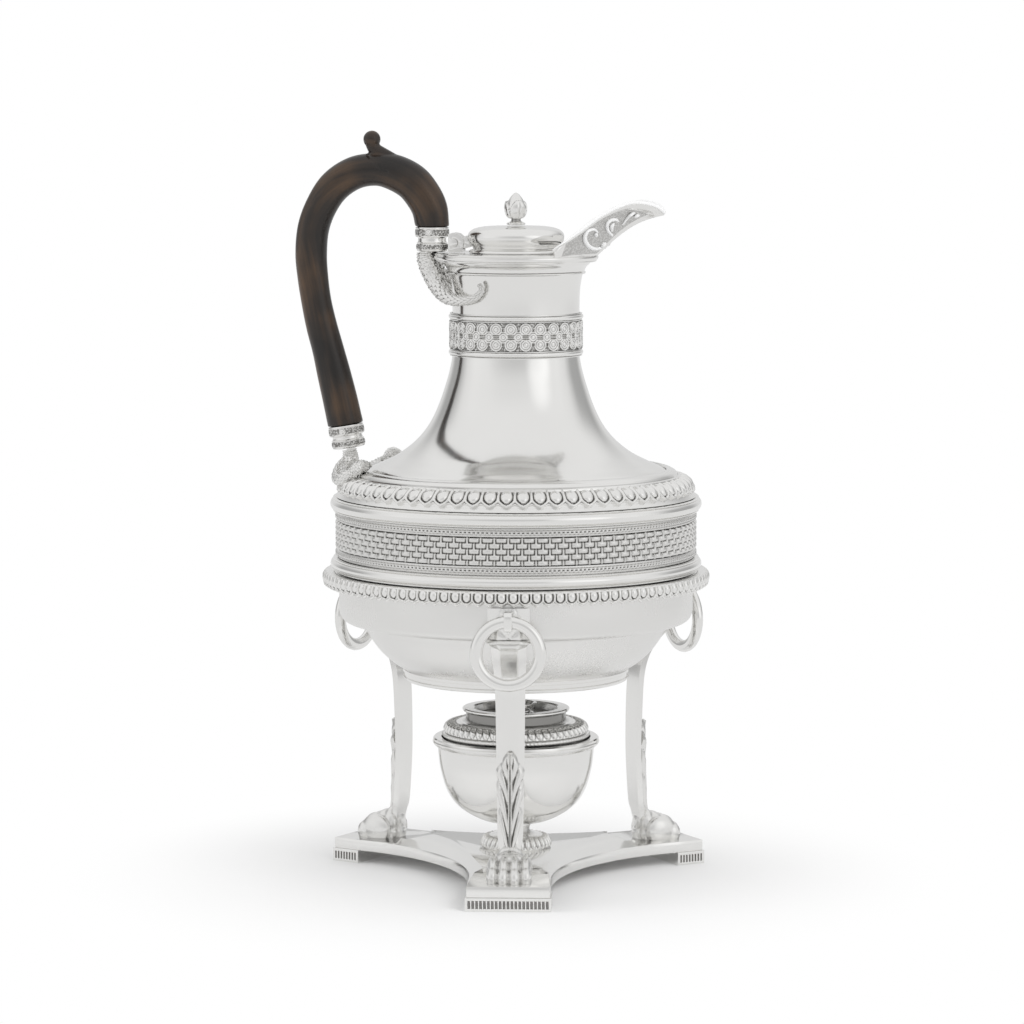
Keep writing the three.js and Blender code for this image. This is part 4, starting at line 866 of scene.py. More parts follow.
def eased(node, width, name, body, segments=2):
    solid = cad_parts[node]
    copy = bpy.data.objects.new(name, solid.data.copy())
    copy.data.materials.clear()
    bpy.context.collection.objects.link(copy)
    copy.matrix_world = solid.matrix_world.copy()
    activate(copy)
    bpy.ops.object.transform_apply(location=True, rotation=True, scale=True)
    edit()
    bpy.ops.mesh.remove_doubles(threshold=0.002 * MM)
    bpy.ops.mesh.dissolve_limited(angle_limit=math.radians(1))
    leave()
    modify("BEVEL", width=width * MM, segments=segments, limit_method="ANGLE", angle_limit=math.radians(30))
    bpy.ops.object.shade_smooth_by_angle(angle=math.radians(38))
    hand_in(copy, name, body, POLISHED, node)


for number in (1, 2, 3):
    eased(f"ring_clip_{number}", 0.35, f"strap_clip_{number}", "stand")

# %% [markdown]
# Each loose ring is wire, bent round and soldered. A circle is made for the section of the wire, squeezed a little
# where it was hammered flat, and spun about the middle of the ring.

# %% Rings
_, ring_low, ring_high = reach("ring_1")
RING_WIRE = 2.55
RING_OUT = 80.0
RING_SQUEEZE = 0.86
ring_middle = at(RING_OUT, 0, (ring_low + ring_high) / 2)
wire_middle = at(RING_OUT, 0, ring_high - RING_WIRE)
deselect()
bpy.ops.mesh.primitive_circle_add(vertices=20, radius=RING_WIRE * MM, location=wire_middle,
                                  rotation=(math.pi / 2, 0, math.pi / 2))
ring = bpy.context.object
bpy.ops.object.transform_apply(location=True, rotation=True)
edit()
bpy.ops.transform.rotate(value=math.pi / 2, orient_axis="Z", center_override=wire_middle)
bpy.ops.transform.resize(value=(RING_SQUEEZE, 1, 1), center_override=wire_middle)
bpy.ops.mesh.spin(steps=96, angle=2 * math.pi, center=ring_middle, axis=(1, 0, 0))
tidy_surface()
bpy.ops.object.shade_smooth()
on_each_leg(ring, "loose_ring", "ring", POLISHED, ("front_ring", "right_ring", "left_ring"))

# %% [markdown]
# The open bowl of the stand is raised from sheet: a straight wall that the jug sits in, a step that carries it, and
# a dish that narrows to an open bottom. It is a profile with an outer and an inner face, spun once round.

# %% Bowl of the stand and its collar
SHEET = 1.4
bowl_radius, bowl_low, bowl_high = reach("stand_bowl")
_, collar_low, collar_high = reach("stand_collar")
dish = smoothed(from_level(
    bowl_low, (47, 0), (51.5, 2.85), (56.8, 7.8), (61.3, 14.1), (64.4, 19), (69.8, 19.6), (72.4, 21.3),
    (bowl_radius, 24.2)
), 8)
wall = [(bowl_radius, bowl_low + 30), (bowl_radius, bowl_high - 0.3), (bowl_radius - 0.3, bowl_high)]
inner_wall = [(bowl_radius - 1.2, bowl_high), (bowl_radius - SHEET, bowl_high - 0.4),
              *from_level(bowl_low, (bowl_radius - SHEET, 24.4), (bowl_radius - 4.4, 20.5), (61, 20.4))]
inner_dish = [(radius - 1.7, level + 1.1) for radius, level in reversed(dish[4:26])]
bowl = turned([(47, bowl_low), *dish, *wall, *inner_wall, *inner_dish, (44.8, bowl_low), (47, bowl_low)], 160, 30)
hand_in(bowl, "bowl_of_stand", "stand", BRUSHED, "stand_bowl")

collar = turned([
    *from_level(collar_low, (43.6, 0), (46.1, 0), (46.6, 0.35), (46.95, 0.9), (46.95, 1.3), (46.3, 1.6)),
    *from_level(collar_high, (46.3, -1.6), (47, -1.2), (47, -0.2), (46.7, 0.3), (43.6, 0.3)),
    (43.6, collar_low),
], 160, 30)
hand_in(collar, "collar_of_stand", "stand", POLISHED, "stand_collar")

# %% [markdown]
# A gadroon is a row of egg-shaped bosses, each struck with its own punch. Round every egg runs a deep groove shaped
# like a U, and outside the groove a raised border, whose lower edge makes the scallops of the lip. One function
# gives the height of all three from the distance to the U, so both borders of this jug share it.

# %% Gadroon


def tongue(across, down, half, foot, rise, groove, rim):
    """Height of a boss. across and down are millimetres from its middle line and its top."""
    turn_down = foot - half
    distance = abs(across) - half if down < turn_down else math.hypot(across, down - turn_down) - half
    if distance < 0:
        egg = math.hypot(across / half, 2 * down / foot - 1)
        return rise * bump(egg) if egg < 1 else -0.6 * groove * min(1.0, 5 * (egg - 1))
    width = 0.6 * half
    if distance < 0.3 * width:
        return -groove * (1 - distance / (0.3 * width))
    return rim * ridge(distance, 0.72 * width, 0.46 * width)


def along(profile, share):
    """A place on a line of [radius, level] points, and the outward direction there."""
    lengths = [(Vector(b) - Vector(a)).length for a, b in zip(profile, profile[1:])]
    left = share * sum(lengths)
    for i, length in enumerate(lengths):
        if left <= length or i == len(lengths) - 1:
            start, end = Vector(profile[i]), Vector(profile[i + 1])
            way = (end - start) / length
            return start + way * min(left, length), Vector((-way.y, way.x)), sum(lengths)
        left -= length


def gadroon_border(count, profile, rows, half, foot, rise, groove, rim, scallop, columns=12, top=0.0, slide=0.0):
    """Lobes along a profile that runs from their top out and down to the lip, closed behind."""
    pitch = 2 * math.pi * profile[-1][0] / count

    def shape(u, v):
        spot, out, length = along(profile, v)
        across, down = (u - 0.5) * pitch, v * length - top
        height = tongue(across, down, half, foot, rise, groove, rim) if down > 0 else 0
        lift = scallop * (0.5 + 0.5 * math.cos(2 * math.pi * u)) * max(0.0, v * 3 - 2)
        return spot.x + out.x * height, spot.y + out.y * height + lift, slide * v

    return border(count, columns, rows, shape, 50)


rim_face = smoothed([
    *from_level(RIM_HIGH, (RIM_OUT - 2.2, -0.4), (RIM_OUT - 1.35, -1.0), (RIM_OUT - 1.1, -2.4),
        (RIM_OUT - 1.15, -4.0)),
    (RIM_OUT - 1.5, RIM_LOW + 1.2), (RIM_OUT - 2.0, RIM_LOW + 0.2),
], 3)
rim_lobes = gadroon_border(106, rim_face, 22, 1.55, 4.3, 1.05, 0.6, 0.8, 1.2, columns=14, top=0.15)
rim_top = turned([
    *from_level(RIM_HIGH, (73.6, -0.5), (73.6, 0), (75, 0), (75.3, -0.25), (75.6, 0), (78.3, 0), (79.1, -0.2),
        (79.5, -0.6), (79.2, -0.95), (78, -1.2)),
    (78, RIM_LOW + 1.2), (73.8, RIM_LOW + 1.6), (73.6, RIM_HIGH - 0.5),
], 160, 30)
rim = join(rim_lobes, rim_top)
hand_in(rim, "gadrooned_rim", "stand", CHASED, "stand_rim")

# %% [markdown]
# ## The jug
# The body is raised from one sheet: the shoulder sweeps in, the neck stands up and the mouth flares out again. Its
# profile was measured at thirteen levels and is joined by a smooth line. The inner face is the same line, moved in by
# the thickness of the sheet.

# %% Body and drum
_, body_low, body_high = reach("jug_body")
_, drum_floor, drum_top = reach("jug_drum")
band_radius, band_low, band_high = reach("neck_band")
flare = smoothed([
    *from_level(body_low, (70.6, 0), (66.4, 4.2), (61.58, 8.3), (55.2, 11.2), (47.3, 15.4), (39.8, 21.8),
        (34.2, 30.0), (29.5, 42.0)),
    (26.3, band_low), (26.2, band_high), (26.4, 244), (27.2, 249.5), (27.6, 250.9),
], 9)
lip = [(28.4, 250.9), (28.75, 251.2), (28.75, 251.6), (28.45, 251.9)]
cove = smoothed([(28.3, 252.1), (28.6, 253.0), (29.3, 254.1), (30.4, 255.1), (32.2, body_high)], 4)
flare_inside = [(radius - SHEET, level) for radius, level in reversed(flare)]
body = turned([*flare, *lip, *cove, (30.4, body_high), (28.4, 254.6), *flare_inside, flare[0]], 192, 35)
hand_in(body, "body", "jug", POLISHED, "jug_body")

drum = turned([
    *from_level(drum_floor, (0, 1.8), (40, 0.9), (61, 0), (66, 0), (68.5, 0.7), (70.4, 2.4), (71.4, 5)),
    (71.4, RIM_HIGH + 0.3), (73, RIM_HIGH + 1.2),
    *from_level(drum_top, (73, -2.7), (70.6, 0), (69, 0), (71.6, -3.3)),
    (71.6, RIM_HIGH + 1.6), (70, RIM_HIGH + 1),
    *from_level(drum_floor, (70, 6), (68, 2.6), (65, 1.5), (0, 3.2)),
], 160, 30)
hand_in(drum, "drum_wall", "jug", POLISHED, "jug_drum")

# %% [markdown]
# The shoulder carries the larger gadroons: 68 eggs that lean out over a scalloped lip, under a plain moulding of
# two steps. Below it the drum is bound by plain half-round mouldings with a fine line along each edge.

# %% Shoulder border and mouldings
shoulder_low = reach("shoulder_gadroon")[1]
shoulder_face = smoothed(from_level(
    shoulder_low, (67.9, 7.9), (69.8, 7.0), (71.6, 5.8), (72.8, 4.3), (73.3, 2.8), (73.7, 1.5)
), 3)
shoulder_lobes = gadroon_border(68, shoulder_face, 24, 2.4, 6.9, 1.35, 0.7, 0.9, 1.4, columns=18, top=0.3)
shoulder_cove = turned(from_level(
    shoulder_low, (74.7, 0), (74.2, 0.5), (73.8, 1.0), (73.3, 1.6), (72.9, 2.4), (72.5, 3.8), (71.5, 3.8), (71.5, 0),
    (74.7, 0)
), 192, 40)
shoulder_step = turned(from_level(
    shoulder_low, (67.8, 6.6), (68.6, 7.7), (68.4, 8.5), (67.7, 8.9), (67.0, 8.8), (66.8, 9.0), (66.6, 9.6),
    (65.9, 10.3), (64.8, 10.9), (63.4, 11.3), (62.5, 11.2), (62.3, 10.9), (62.3, 10.4), (66.5, 7), (67.8, 6.6)
), 192, 30)
shoulder_border = join(shoulder_lobes, shoulder_step, shoulder_cove)
hand_in(shoulder_border, "gadrooned_shoulder", "jug", CHASED, "shoulder_gadroon")


def moulding(low, high, out):
    """A half-round moulding between two fine edge lines."""
    middle, half = (low + high) / 2, (high - low) / 2
    round_part = [(out - 1.6 + 1.6 * math.cos(a), middle + (half - 0.75) * math.sin(a))
                  for a in (math.radians(-90 + 15 * i) for i in range(13))]
    edge = [(1.5, 0), (1.15, 0.2), (1.15, 0.5), (1.6, 0.7)]
    lower = [(out - inset, low + up) for inset, up in edge]
    upper = [(out - inset, high - down) for inset, down in reversed(edge)]
    return turned([(73.3, low), *lower, *round_part, *upper, (73.3, high), (73.3, low)], 192, 40)


for node, name in (("drum_upper_moulding", "upper_moulding"), ("drum_lower_moulding", "lower_moulding")):
    out, low, high = reach(node)
    low = max(RIM_HIGH + 0.4, low - 1) if node == "drum_lower_moulding" else low
    hand_in(moulding(low, high, out), name, "jug", POLISHED, node)

# %% [markdown]
# The frieze looks like a woven basket between two chains. One unit of the weave holds one cushion and one upright
# rib; every second row is moved on by half a unit. The chains have 260 links each, so a link is only a few
# faces, and the light does the rest.

# %% Basket frieze
frieze_radius, frieze_low, frieze_high = reach("basket_frieze")
WEAVE_UNITS, WEAVE_ROWS, CHAIN_LINKS = 84, 5, 260
weave_low, weave_high = frieze_low + 3.5, frieze_high - 3.5


def weave(u, v):
    row = min(WEAVE_ROWS - 1, int(v * WEAVE_ROWS))
    pitch, height = 2 * math.pi * frieze_radius / WEAVE_UNITS, (weave_high - weave_low) / WEAVE_ROWS
    across = ((u + 0.5 * (row % 2)) % 1 - 0.5) * pitch
    up = (v * WEAVE_ROWS - row - 0.5) * height
    cushion = 1.1 * bump(min(1, across / 2.1)) ** 0.8 * bump(min(1, abs(up) / (0.5 * height)))
    rib = 0.95 * ridge(abs(across), 0.5 * pitch, 0.5)
    return frieze_radius - 1.3 + max(cushion, rib), mix(weave_low, weave_high, v)


def chain(low, high):
    pitch = 2 * math.pi * frieze_radius / CHAIN_LINKS
    half = (high - low) / 2

    def shape(u, v):
        across, up = (u - 0.5) * pitch, (v * 2 - 1) * half
        own = ridge(math.hypot(across * 0.8, up), 0.36 * half, 0.22 * half)
        next_one = ridge(math.hypot(abs(across) - pitch, up), 0.5 * half, 0.2 * half)
        strip = 0.6 if abs(up) > 0.8 * half else 0
        return frieze_radius - 0.95 + max(0.75 * max(own, next_one), strip), mix(low, high, v)

    return border(CHAIN_LINKS, 5, 10, shape, 40)


frieze = join(border(WEAVE_UNITS, 20, 25, weave, 50), chain(frieze_low, weave_low - 0.1),
              chain(weave_high + 0.1, frieze_high))
hand_in(frieze, "woven_frieze", "jug", WOVEN, "basket_frieze")

# %% [markdown]
# Round the neck runs a guilloche, the old pattern of a ribbon that winds round two rows of discs. It is drawn as
# heights over one unit: a disc with a rim and a boss above and below the middle, a larger ring that links them to
# the next unit, and short bars between. Two rows of plain beading close it in.

# %% Neck band
GUILLOCHE_UNITS = 28
guilloche_low, guilloche_high = band_low + 2.9, band_high - 2.9
field_radius = band_radius - 0.95


def guilloche(u, v):
    pitch = 2 * math.pi * band_radius / GUILLOCHE_UNITS
    across, up = (u - 0.5) * pitch, mix(guilloche_low, guilloche_high, v) - (guilloche_low + guilloche_high) / 2
    height = 0.0
    for spot, level, size in ((0, 3.1, 2.7), (0, -3.1, 2.7), (0.5 * pitch, 0, 2.5), (-0.5 * pitch, 0, 2.5)):
        distance = math.hypot(across - spot, up - level)
        if distance < size:
            rims = max(ridge(distance, size - 0.3, 0.3), 0.8 * ridge(distance, 0.52 * size, 0.3),
                       0.7 * ridge(distance, 0, 0.8))
            height = max(height, 0.42 + 0.36 * rims)
    if abs(across) < 1.2 and abs(up) < 1.15:
        height = 0.55 - 0.6 * abs(math.cos(math.pi * up / 0.72)) ** 2
    return field_radius + height, mix(guilloche_low, guilloche_high, v)


def beading(low, high):
    middle, half = (low + high) / 2, (high - low) / 2
    bead = [(band_radius - 0.95 + 0.95 * math.cos(a), middle + (half - 0.45) * math.sin(a))
            for a in (math.radians(-80 + 20 * i) for i in range(9))]
    edge, inner = band_radius - 0.5, band_radius - 0.55
    return turned([(26.4, low), (inner, low), (edge, low + 0.3), *bead, (edge, high - 0.3), (inner, high), (26.4, high),
                   (26.4, low)], 128, 40)


neck = join(border(GUILLOCHE_UNITS, 32, 56, guilloche, 50), beading(band_low, guilloche_low),
            beading(guilloche_high, band_high))
hand_in(neck, "guilloche_band", "jug", CHASED, "neck_band")
neck.data.materials.append(GROUND)
for face in neck.data.polygons:
    spot = face.center - AXIS
    low_ground = math.hypot(spot.x, spot.y) / MM < field_radius + 0.12
    face.material_index = 1 if low_ground and guilloche_low < spot.z / MM < guilloche_high else 0

# %% [markdown]
# The mouth is a thick rounded rim with a flat top. The lid closes its middle, and a curved slot under the spout
# lets the coffee out. The rim is turned, and the slot is cut with a boolean, as it was pierced with a saw.

# %% Mouth rim
MOUTH = reach("mouth_rim")[2]
SLOT_IN, SLOT_OUT, SLOT_HALF_ANGLE = 21.5, 29.4, 42
mouth_profile = [
    (18.2, -1.2), (32, -1.2), (32, -3.4), (32.9, -3.4), (33.2, -3.1), (33.2, -2.8), (33.5, -2.6), (33.85, -2.2),
    (34, -1.6), (33.85, -1.05), (33.55, -0.8), (33.55, -0.65), (33.75, -0.5), (33.8, -0.25), (33.6, -0.05), (33.4, 0),
    (20.9, 0), (20.7, -0.15), (20.4, 0), (18.4, 0), (18.2, -0.2), (18.2, -1.2),
]
mouth = turned([(radius, MOUTH + down) for radius, down in mouth_profile], 192, 30)
slot_angles = [math.radians(a) for a in range(-SLOT_HALF_ANGLE, SLOT_HALF_ANGLE + 1, 3)]
cutter = closed_line([polar(SLOT_IN, a, MOUTH - 3) for a in slot_angles]
                     + [polar(SLOT_OUT, a, MOUTH - 3) for a in reversed(slot_angles)])
edit()
bpy.ops.mesh.edge_face_add()
bpy.ops.mesh.extrude_region_move(TRANSFORM_OT_translate={"value": (0, 0, 5 * MM)})
tidy_surface()
activate(mouth)
modify("BOOLEAN", object=cutter, operation="DIFFERENCE", solver="EXACT")
bpy.data.objects.remove(cutter)
bpy.ops.object.shade_smooth_by_angle(angle=math.radians(30))
hand_in(mouth, "mouth_border", "jug", POLISHED, "mouth_rim")

# %% [markdown]
# The spout is an open scoop that grows out of the rim and narrows to a lip. Its foot follows the circle of the rim
# and its edge is a measured curve; every point of the sheet lies between the two and swells out a little. The
# sheet then gets its thickness. Its two sides are sunk and stippled, and cast scrolls are laid on them: each scroll
# is drawn in the side view and dropped onto the sheet.

# %% Spout
SPOUT_REACH, SPOUT_FOOT, SPOUT_HALF_ANGLE = 61.4, 33.0, math.radians(52)
SPOUT_RUN = SPOUT_REACH - SPOUT_FOOT * math.cos(SPOUT_HALF_ANGLE)
SPOUT_HALF = SPOUT_FOOT * math.sin(SPOUT_HALF_ANGLE)
SPOUT_RISE = 17.4
PANEL_SINK = 0.5
EDGE = [(1, 0, 1), (0.96, 0.12, 1.12), (0.88, 0.2, 1.2), (0.75, 0.31, 1.24), (0.6, 0.43, 1.15), (0.43, 0.62, 0.93),
        (0.27, 0.8, 0.62), (0.13, 0.92, 0.34), (0, 1, 0.1)]
spout_edge = smoothed([
    (SPOUT_REACH - SPOUT_RUN * (1 - out), side * SPOUT_HALF, MOUTH + 0.2 + up * (SPOUT_RISE - 0.6))
    for out, side, up in EDGE
], 12)


def edge_place(share):
    step = abs(share) * (len(spout_edge) - 1)
    first = min(int(step), len(spout_edge) - 2)
    place = mix(spout_edge[first], spout_edge[first + 1], step - first)
    return Vector((place.x, math.copysign(place.y, share), place.z))


def scoop(share, up):
    """A place on the sheet. share runs from -1 to 1 round the scoop, up from the foot to the edge."""
    angle = SPOUT_HALF_ANGLE * share
    foot = Vector((SPOUT_FOOT * math.cos(angle), SPOUT_FOOT * math.sin(angle), MOUTH - 0.2))
    swell = Vector((math.cos(angle), math.sin(angle), 0)) * 0.4 + Vector((0, 0, 3.6 * (1 - share * share)))
    return mix(foot, edge_place(share), up) + swell * math.sin(math.pi * up)


marks = []


def sheet(u, v):
    marks.append((abs(2 * u - 1), v))
    return at(*scoop(2 * u - 1, v))


def sunk(share, up):
    """How deep the side panel lies below its plain border, from 0 to 1."""
    return max(0.0, min(1.0, (0.87 - up) * 18, (up + 0.02) * 25, (0.95 - share) * 14, (share - 0.01) * 14))


spout = shaped_grid(120, 40, sheet)
outer_count = len(marks)
modify("SOLIDIFY", thickness=1.2 * MM, offset=1, use_even_offset=False)
bpy.ops.object.shade_smooth_by_angle(angle=math.radians(40))
spout.data.materials.append(POLISHED)
spout.data.materials.append(MATTED)
for face in spout.data.polygons:
    if max(face.vertices) < outer_count:
        face.material_index = int(min(sunk(*marks[i]) for i in face.vertices) > 0.9)
directions = [corner.normal.copy() for corner in spout.data.vertices]
for i, mark in enumerate(marks):
    spout.data.vertices[i].co -= directions[i] * (PANEL_SINK * sunk(*mark)) * MM


def on_sheet(x, z, side):
    """The place on the sheet that is seen at x and z from the side, found in a few steps."""
    share, up = 0.45, 0.4
    for _ in range(12):
        spot = scoop(share, up)
        by_share, by_up = (scoop(share + 0.001, up) - spot) * 1000, (scoop(share, up + 0.001) - spot) * 1000
        scale = by_share.x * by_up.z - by_up.x * by_share.z
        step = Vector((x - spot.x, z - spot.z))
        share = min(0.96, max(-0.96, share + (step.x * by_up.z - by_up.x * step.y) / scale))
        up = min(1.0, max(0.0, up + (by_share.x * step.y - step.x * by_share.z) / scale))
    out = by_share.cross(by_up).normalized()
    spot = scoop(share, up) + out * math.copysign(0.95, out.y)
    return Vector((spot.x, side * spot.y, spot.z))


SCROLL_SPREAD = 0.885
SCROLLS = [
    (-0.51, 0.27, [(2.2, 2.5, 0.3), (0.9, 3.8, 0.45), (-1.5, 3.1, 0.6), (-2.9, 0.4, 0.7), (-2.3, -2.5, 0.7),
                   (-0.3, -4.2, 0.6), (2.2, -3.8, 0.5), (3.4, -2.2, 0.4)]),
    (-0.51, 0.27, [(0.9, 1.2, 0.5), (1.4, 1.5, 0.85), (1.9, 1.8, 0.5)]),
    (-0.51, 0.27, [(2.6, -3.3, 0.5), (3.3, -2.5, 0.9), (4.2, -2.0, 0.4)]),
    (-0.31, 0.42, [(-1.2, -3.6, 0.4), (-2.4, -1.4, 0.55), (-2.3, 1.0, 0.6), (-0.8, 2.6, 0.6), (1.4, 3.0, 0.5),
                   (2.2, 2.2, 0.35)]),
    (-0.31, 0.42, [(-0.9, -1.6, 0.45), (-0.6, 0.2, 0.7), (0.5, 1.6, 0.35)]),
    (-0.18, 0.68, [(-6.4, -3.6, 0.3), (-3.8, -0.8, 0.45), (-1.2, 1.0, 0.5), (2.2, 1.6, 0.45), (4.6, 1.4, 0.3)]),
    (-0.18, 0.68, [(-1.0, -0.5, 0.3), (0.6, 0.2, 0.6), (2.2, 0.3, 0.3)]),
]
rail = [edge_place(-1 + 2 * i / 96) for i in range(97)]
rail_radii = [0.95 - 0.3 * abs(1 - i / 48) ** 2 for i in range(97)]
edges = [tube(rail, rail_radii, 14, outwards=Vector((0, 0, 1)))]
for side in (-1, 1):
    for share, up, points in SCROLLS:
        middle = scoop(share, up)
        line = smoothed([(*on_sheet(middle.x + SCROLL_SPREAD * out, middle.z + rise, side), 1.3 * thick)
                         for out, rise, thick in points], 5)
        edges.append(rod(line, 10, outwards=Vector((0, side, 0.3))))
hand_in(join(spout, *edges), "open_spout", "jug", POLISHED, "spout")

# %% [markdown]
# The handle is cut from one piece of dark wood. It rises from the upper socket in an arch, swings over a shoulder
# and comes back down to the lower socket, and a small scroll with a ball grows out of the crown for the thumb. The
# arch is a tube along a measured line; the scroll is pressed into it and the two are remeshed into one skin.

# %% Wood handle
UPPER = Vector((-35.3, 0, MOUTH + 10.5))
LOWER = Vector((-72.4, 0, shoulder_low + 27.8))
LEAN = math.radians(9)
HANDLE = 13.3
ARCH_SPAN, ARCH_RISE = 51.5, 23.6
ARCH = [(0.02, 0.31, 1.12), (0.075, 0.55, 1.15), (0.17, 0.79, 1.16), (0.32, 0.955, 1.12), (0.47, 1, 1.02),
        (0.64, 0.935, 1.03), (0.8, 0.71, 1.03), (0.91, 0.37, 1), (0.98, -0.03, 1)]
LIMB = [(0, 0, 1), (0.05, 0.14, 0.97), (0.15, 0.28, 0.95), (0.3, 0.42, 0.98), (0.49, 0.56, 1), (0.66, 0.7, 1.06),
        (0.85, 0.86, 1.1)]
handle_foot = LOWER + Vector((0.3 * -math.sin(LEAN), 0, 0.3 * math.cos(LEAN)))
shoulder = Vector((UPPER.x - ARCH_SPAN, 0, UPPER.z - 11.6))
path = [(UPPER.x, UPPER.z + 0.3, 1.06)]
path += [(UPPER.x - along_arch * ARCH_SPAN, UPPER.z + up * ARCH_RISE, wide) for along_arch, up, wide in ARCH]
path += [(mix(shoulder.x, handle_foot.x, out), mix(shoulder.z, handle_foot.z, down), wide) for out, down, wide in LIMB]
path.append((handle_foot.x, handle_foot.z, 1.12))
spine = [Vector((point.x, 0, point.y, 0.46 * HANDLE * point.z)) for point in smoothed(path, 8)]


def tenon(end, way, radius):
    """The peg that sits in a socket, and the first slice of the wood, cut square on top of it."""
    return [Vector((*(end + way * up), size)) for up, size in (
        (-5.6, 5.2), (0.2, 5.2), (0.25, radius - 0.3), (0.5, radius), (1.3, radius))]


lean_up = Vector((-math.sin(LEAN), 0, math.cos(LEAN)))
limb = [*tenon(UPPER, Vector((0, 0, 1)), spine[0].w), *spine[3:-3], *reversed(tenon(LOWER, lean_up, spine[-1].w))]
handle = rod(limb, 36, flat=1 / 0.92, outwards=Vector((0, 1, 0)))
crown = Vector((UPPER.x - 0.47 * ARCH_SPAN, 0, UPPER.z + ARCH_RISE + 0.5 * HANDLE))
THUMB = [(0.95, -0.42, 0.2), (0.7, -0.27, 0.2), (0.46, -0.13, 0.2), (0.22, -0.01, 0.21), (0.02, 0.11, 0.21),
         (-0.08, 0.26, 0.2), (-0.09, 0.4, 0.2)]
thumb = smoothed([(crown.x + out * HANDLE, 0, crown.z + up * HANDLE, thick * HANDLE) for out, up, thick in THUMB], 6)
scroll = rod(thumb, 20, outwards=Vector((0, 1, 0)))
ball = sphere(at(crown.x - 0.09 * HANDLE, 0, crown.z + 0.436 * HANDLE), 0.27 * HANDLE, 32, 20)
handle = join(handle, scroll, ball)
modify("REMESH", mode="VOXEL", voxel_size=0.38 * MM)
modify("SMOOTH", factor=0.5, iterations=3)
carved = smoothed([(crown.x + out * HANDLE, crown.z + up * HANDLE) for out, up in
                   ((-0.3, 0.3), (-0.24, 0.06), (-0.1, -0.12), (0.1, -0.3), (0.34, -0.5), (0.5, -0.56))], 10)
for corner in handle.data.vertices:
    spot = (corner.co - AXIS) / MM
    if spot.z > crown.z - HANDLE and abs(spot.y) > 1 and abs(spot.x - crown.x) < HANDLE:
        near = min((Vector((spot.x, spot.z)) - point).length for point in carved)
        corner.co -= corner.normal * (0.45 * ridge(near, 0, 0.6)) * MM
bpy.ops.object.shade_smooth()
hand_in(handle, "carved_handle", "jug", DARK_WOOD, "wood_handle", slot=WOOD)

# %% [markdown]
# Each socket is a silver cup with two stippled bands and a plain neck between them. The stippling was done with a
# pointed punch, so those faces take a matted finish, and the rest stays bright. A small pin goes through each.

# %% Handle sockets and pins


def socket(middle, radius, length, lean, node, name):
    foot_band = [(2.0, 0), (1.0, 0.25), (0.6, 0.7), (0.75, 0.95), (0.5, 1.2), (0.45, 2.2), (0.6, 3.1), (0.8, 3.35),
                 (0.6, 3.6), (1.05, 3.95), (1.3, 4.6)]
    top_band = [(1.25, -4.5), (0.7, -4.1), (0.15, -3.95), (0.3, -3.7), (0.1, -3.45), (0, -2.2), (0.1, -0.95),
                (0.3, -0.7), (0.1, -0.45), (0.2, -0.1), (0.5, 0)]
    profile = [(0, -length), *((radius - inset, up - length) for inset, up in foot_band),
               *((radius - inset, down) for inset, down in top_band), (5.7, 0), (5.7, -6.3), (0, -6.3)]
    cup = turned([(out, middle.z + level) for out, level in profile], 96, 30, centre=(middle.x, middle.y))
    if lean:
        edit()
        bpy.ops.transform.rotate(value=lean, orient_axis="Y", center_override=at(*middle))
        leave()
    hand_in(cup, name, "jug", POLISHED, node)
    cup.data.materials.append(GROUND)
    for face in cup.data.polygons:
        depth = (face.center - at(*middle)).length / MM
        down = (at(*middle) - face.center).dot(Vector((-math.sin(lean), 0, math.cos(lean)))) / MM
        outer = math.sqrt(max(0.0, depth * depth - down * down)) > radius - 0.9
        face.material_index = 1 if outer and (0.95 < down < 3.45 or length - 3.1 < down < length - 1.2) else 0


socket(UPPER, 7.1, 10.2, 0, "upper_socket", "upper_cup")
socket(LOWER, 7.5, 9.6, LEAN, "lower_socket", "lower_cup")
for end in ("upper", "lower"):
    pin_low, pin_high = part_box(f"{end}_socket_pin")
    centre = ((pin_low + pin_high) / 2 - AXIS) / MM
    half_pin = (pin_high.y - pin_low.y) / 2 / MM
    head = [(half_pin - down, thick) for down, thick in (
        (0, 0.35), (0.1, 0.75), (0.35, 1.0), (0.7, 1.0), (0.75, 0.7), (0.9, 0.7), (0.95, 1.4), (1.5, 1.5))]
    stations = [*head, *((-out, thick) for out, thick in reversed(head))]
    pin_line = [Vector((*(centre + Vector((0, out, 0))), thick)) for out, thick in stations]
    pin = rod(pin_line, 24, outwards=Vector((0, 0, 1)))
    hand_in(pin, f"{end}_pin", "jug", CHASED, f"{end}_socket_pin")

# %% [markdown]
# Two scaly tails run down from the upper socket and hook round the neck, and two serpents swing out from under the
# lower one and rest their heads on the shoulder. Each is a tube whose skin is lifted into rows of overlapping
# scales, every second row moved on by half a scale.

# %% Tails and serpents


def scales(around, rows, lift):
    def height(u, v):
        row = int(v * rows)
        across = (u * around + 0.5 * (row % 2)) % 1 * 2 - 1
        rise = 1 - (v * rows - row)
        return lift * rise * bump(across) ** 0.6

    return height


def scaly(points, around, rows, lift):
    line = smoothed(points, 18)
    body_skin = scales(around, rows, lift)
    radii = [point.w for point in line]

    def relief(u, v):
        return body_skin(u, v) * min(1.0, radii[round(v * (len(radii) - 1))] / 1.6) - lift * 0.5

    return rod(line, 6 * around, relief=relief)


def around_neck(degrees, drop, out, thick, side):
    angle = math.pi - math.radians(degrees)
    radius = 26.2 + 3 * out
    return (radius * math.cos(angle), side * radius * math.sin(angle), MOUTH - 3 * drop, 3 * thick)


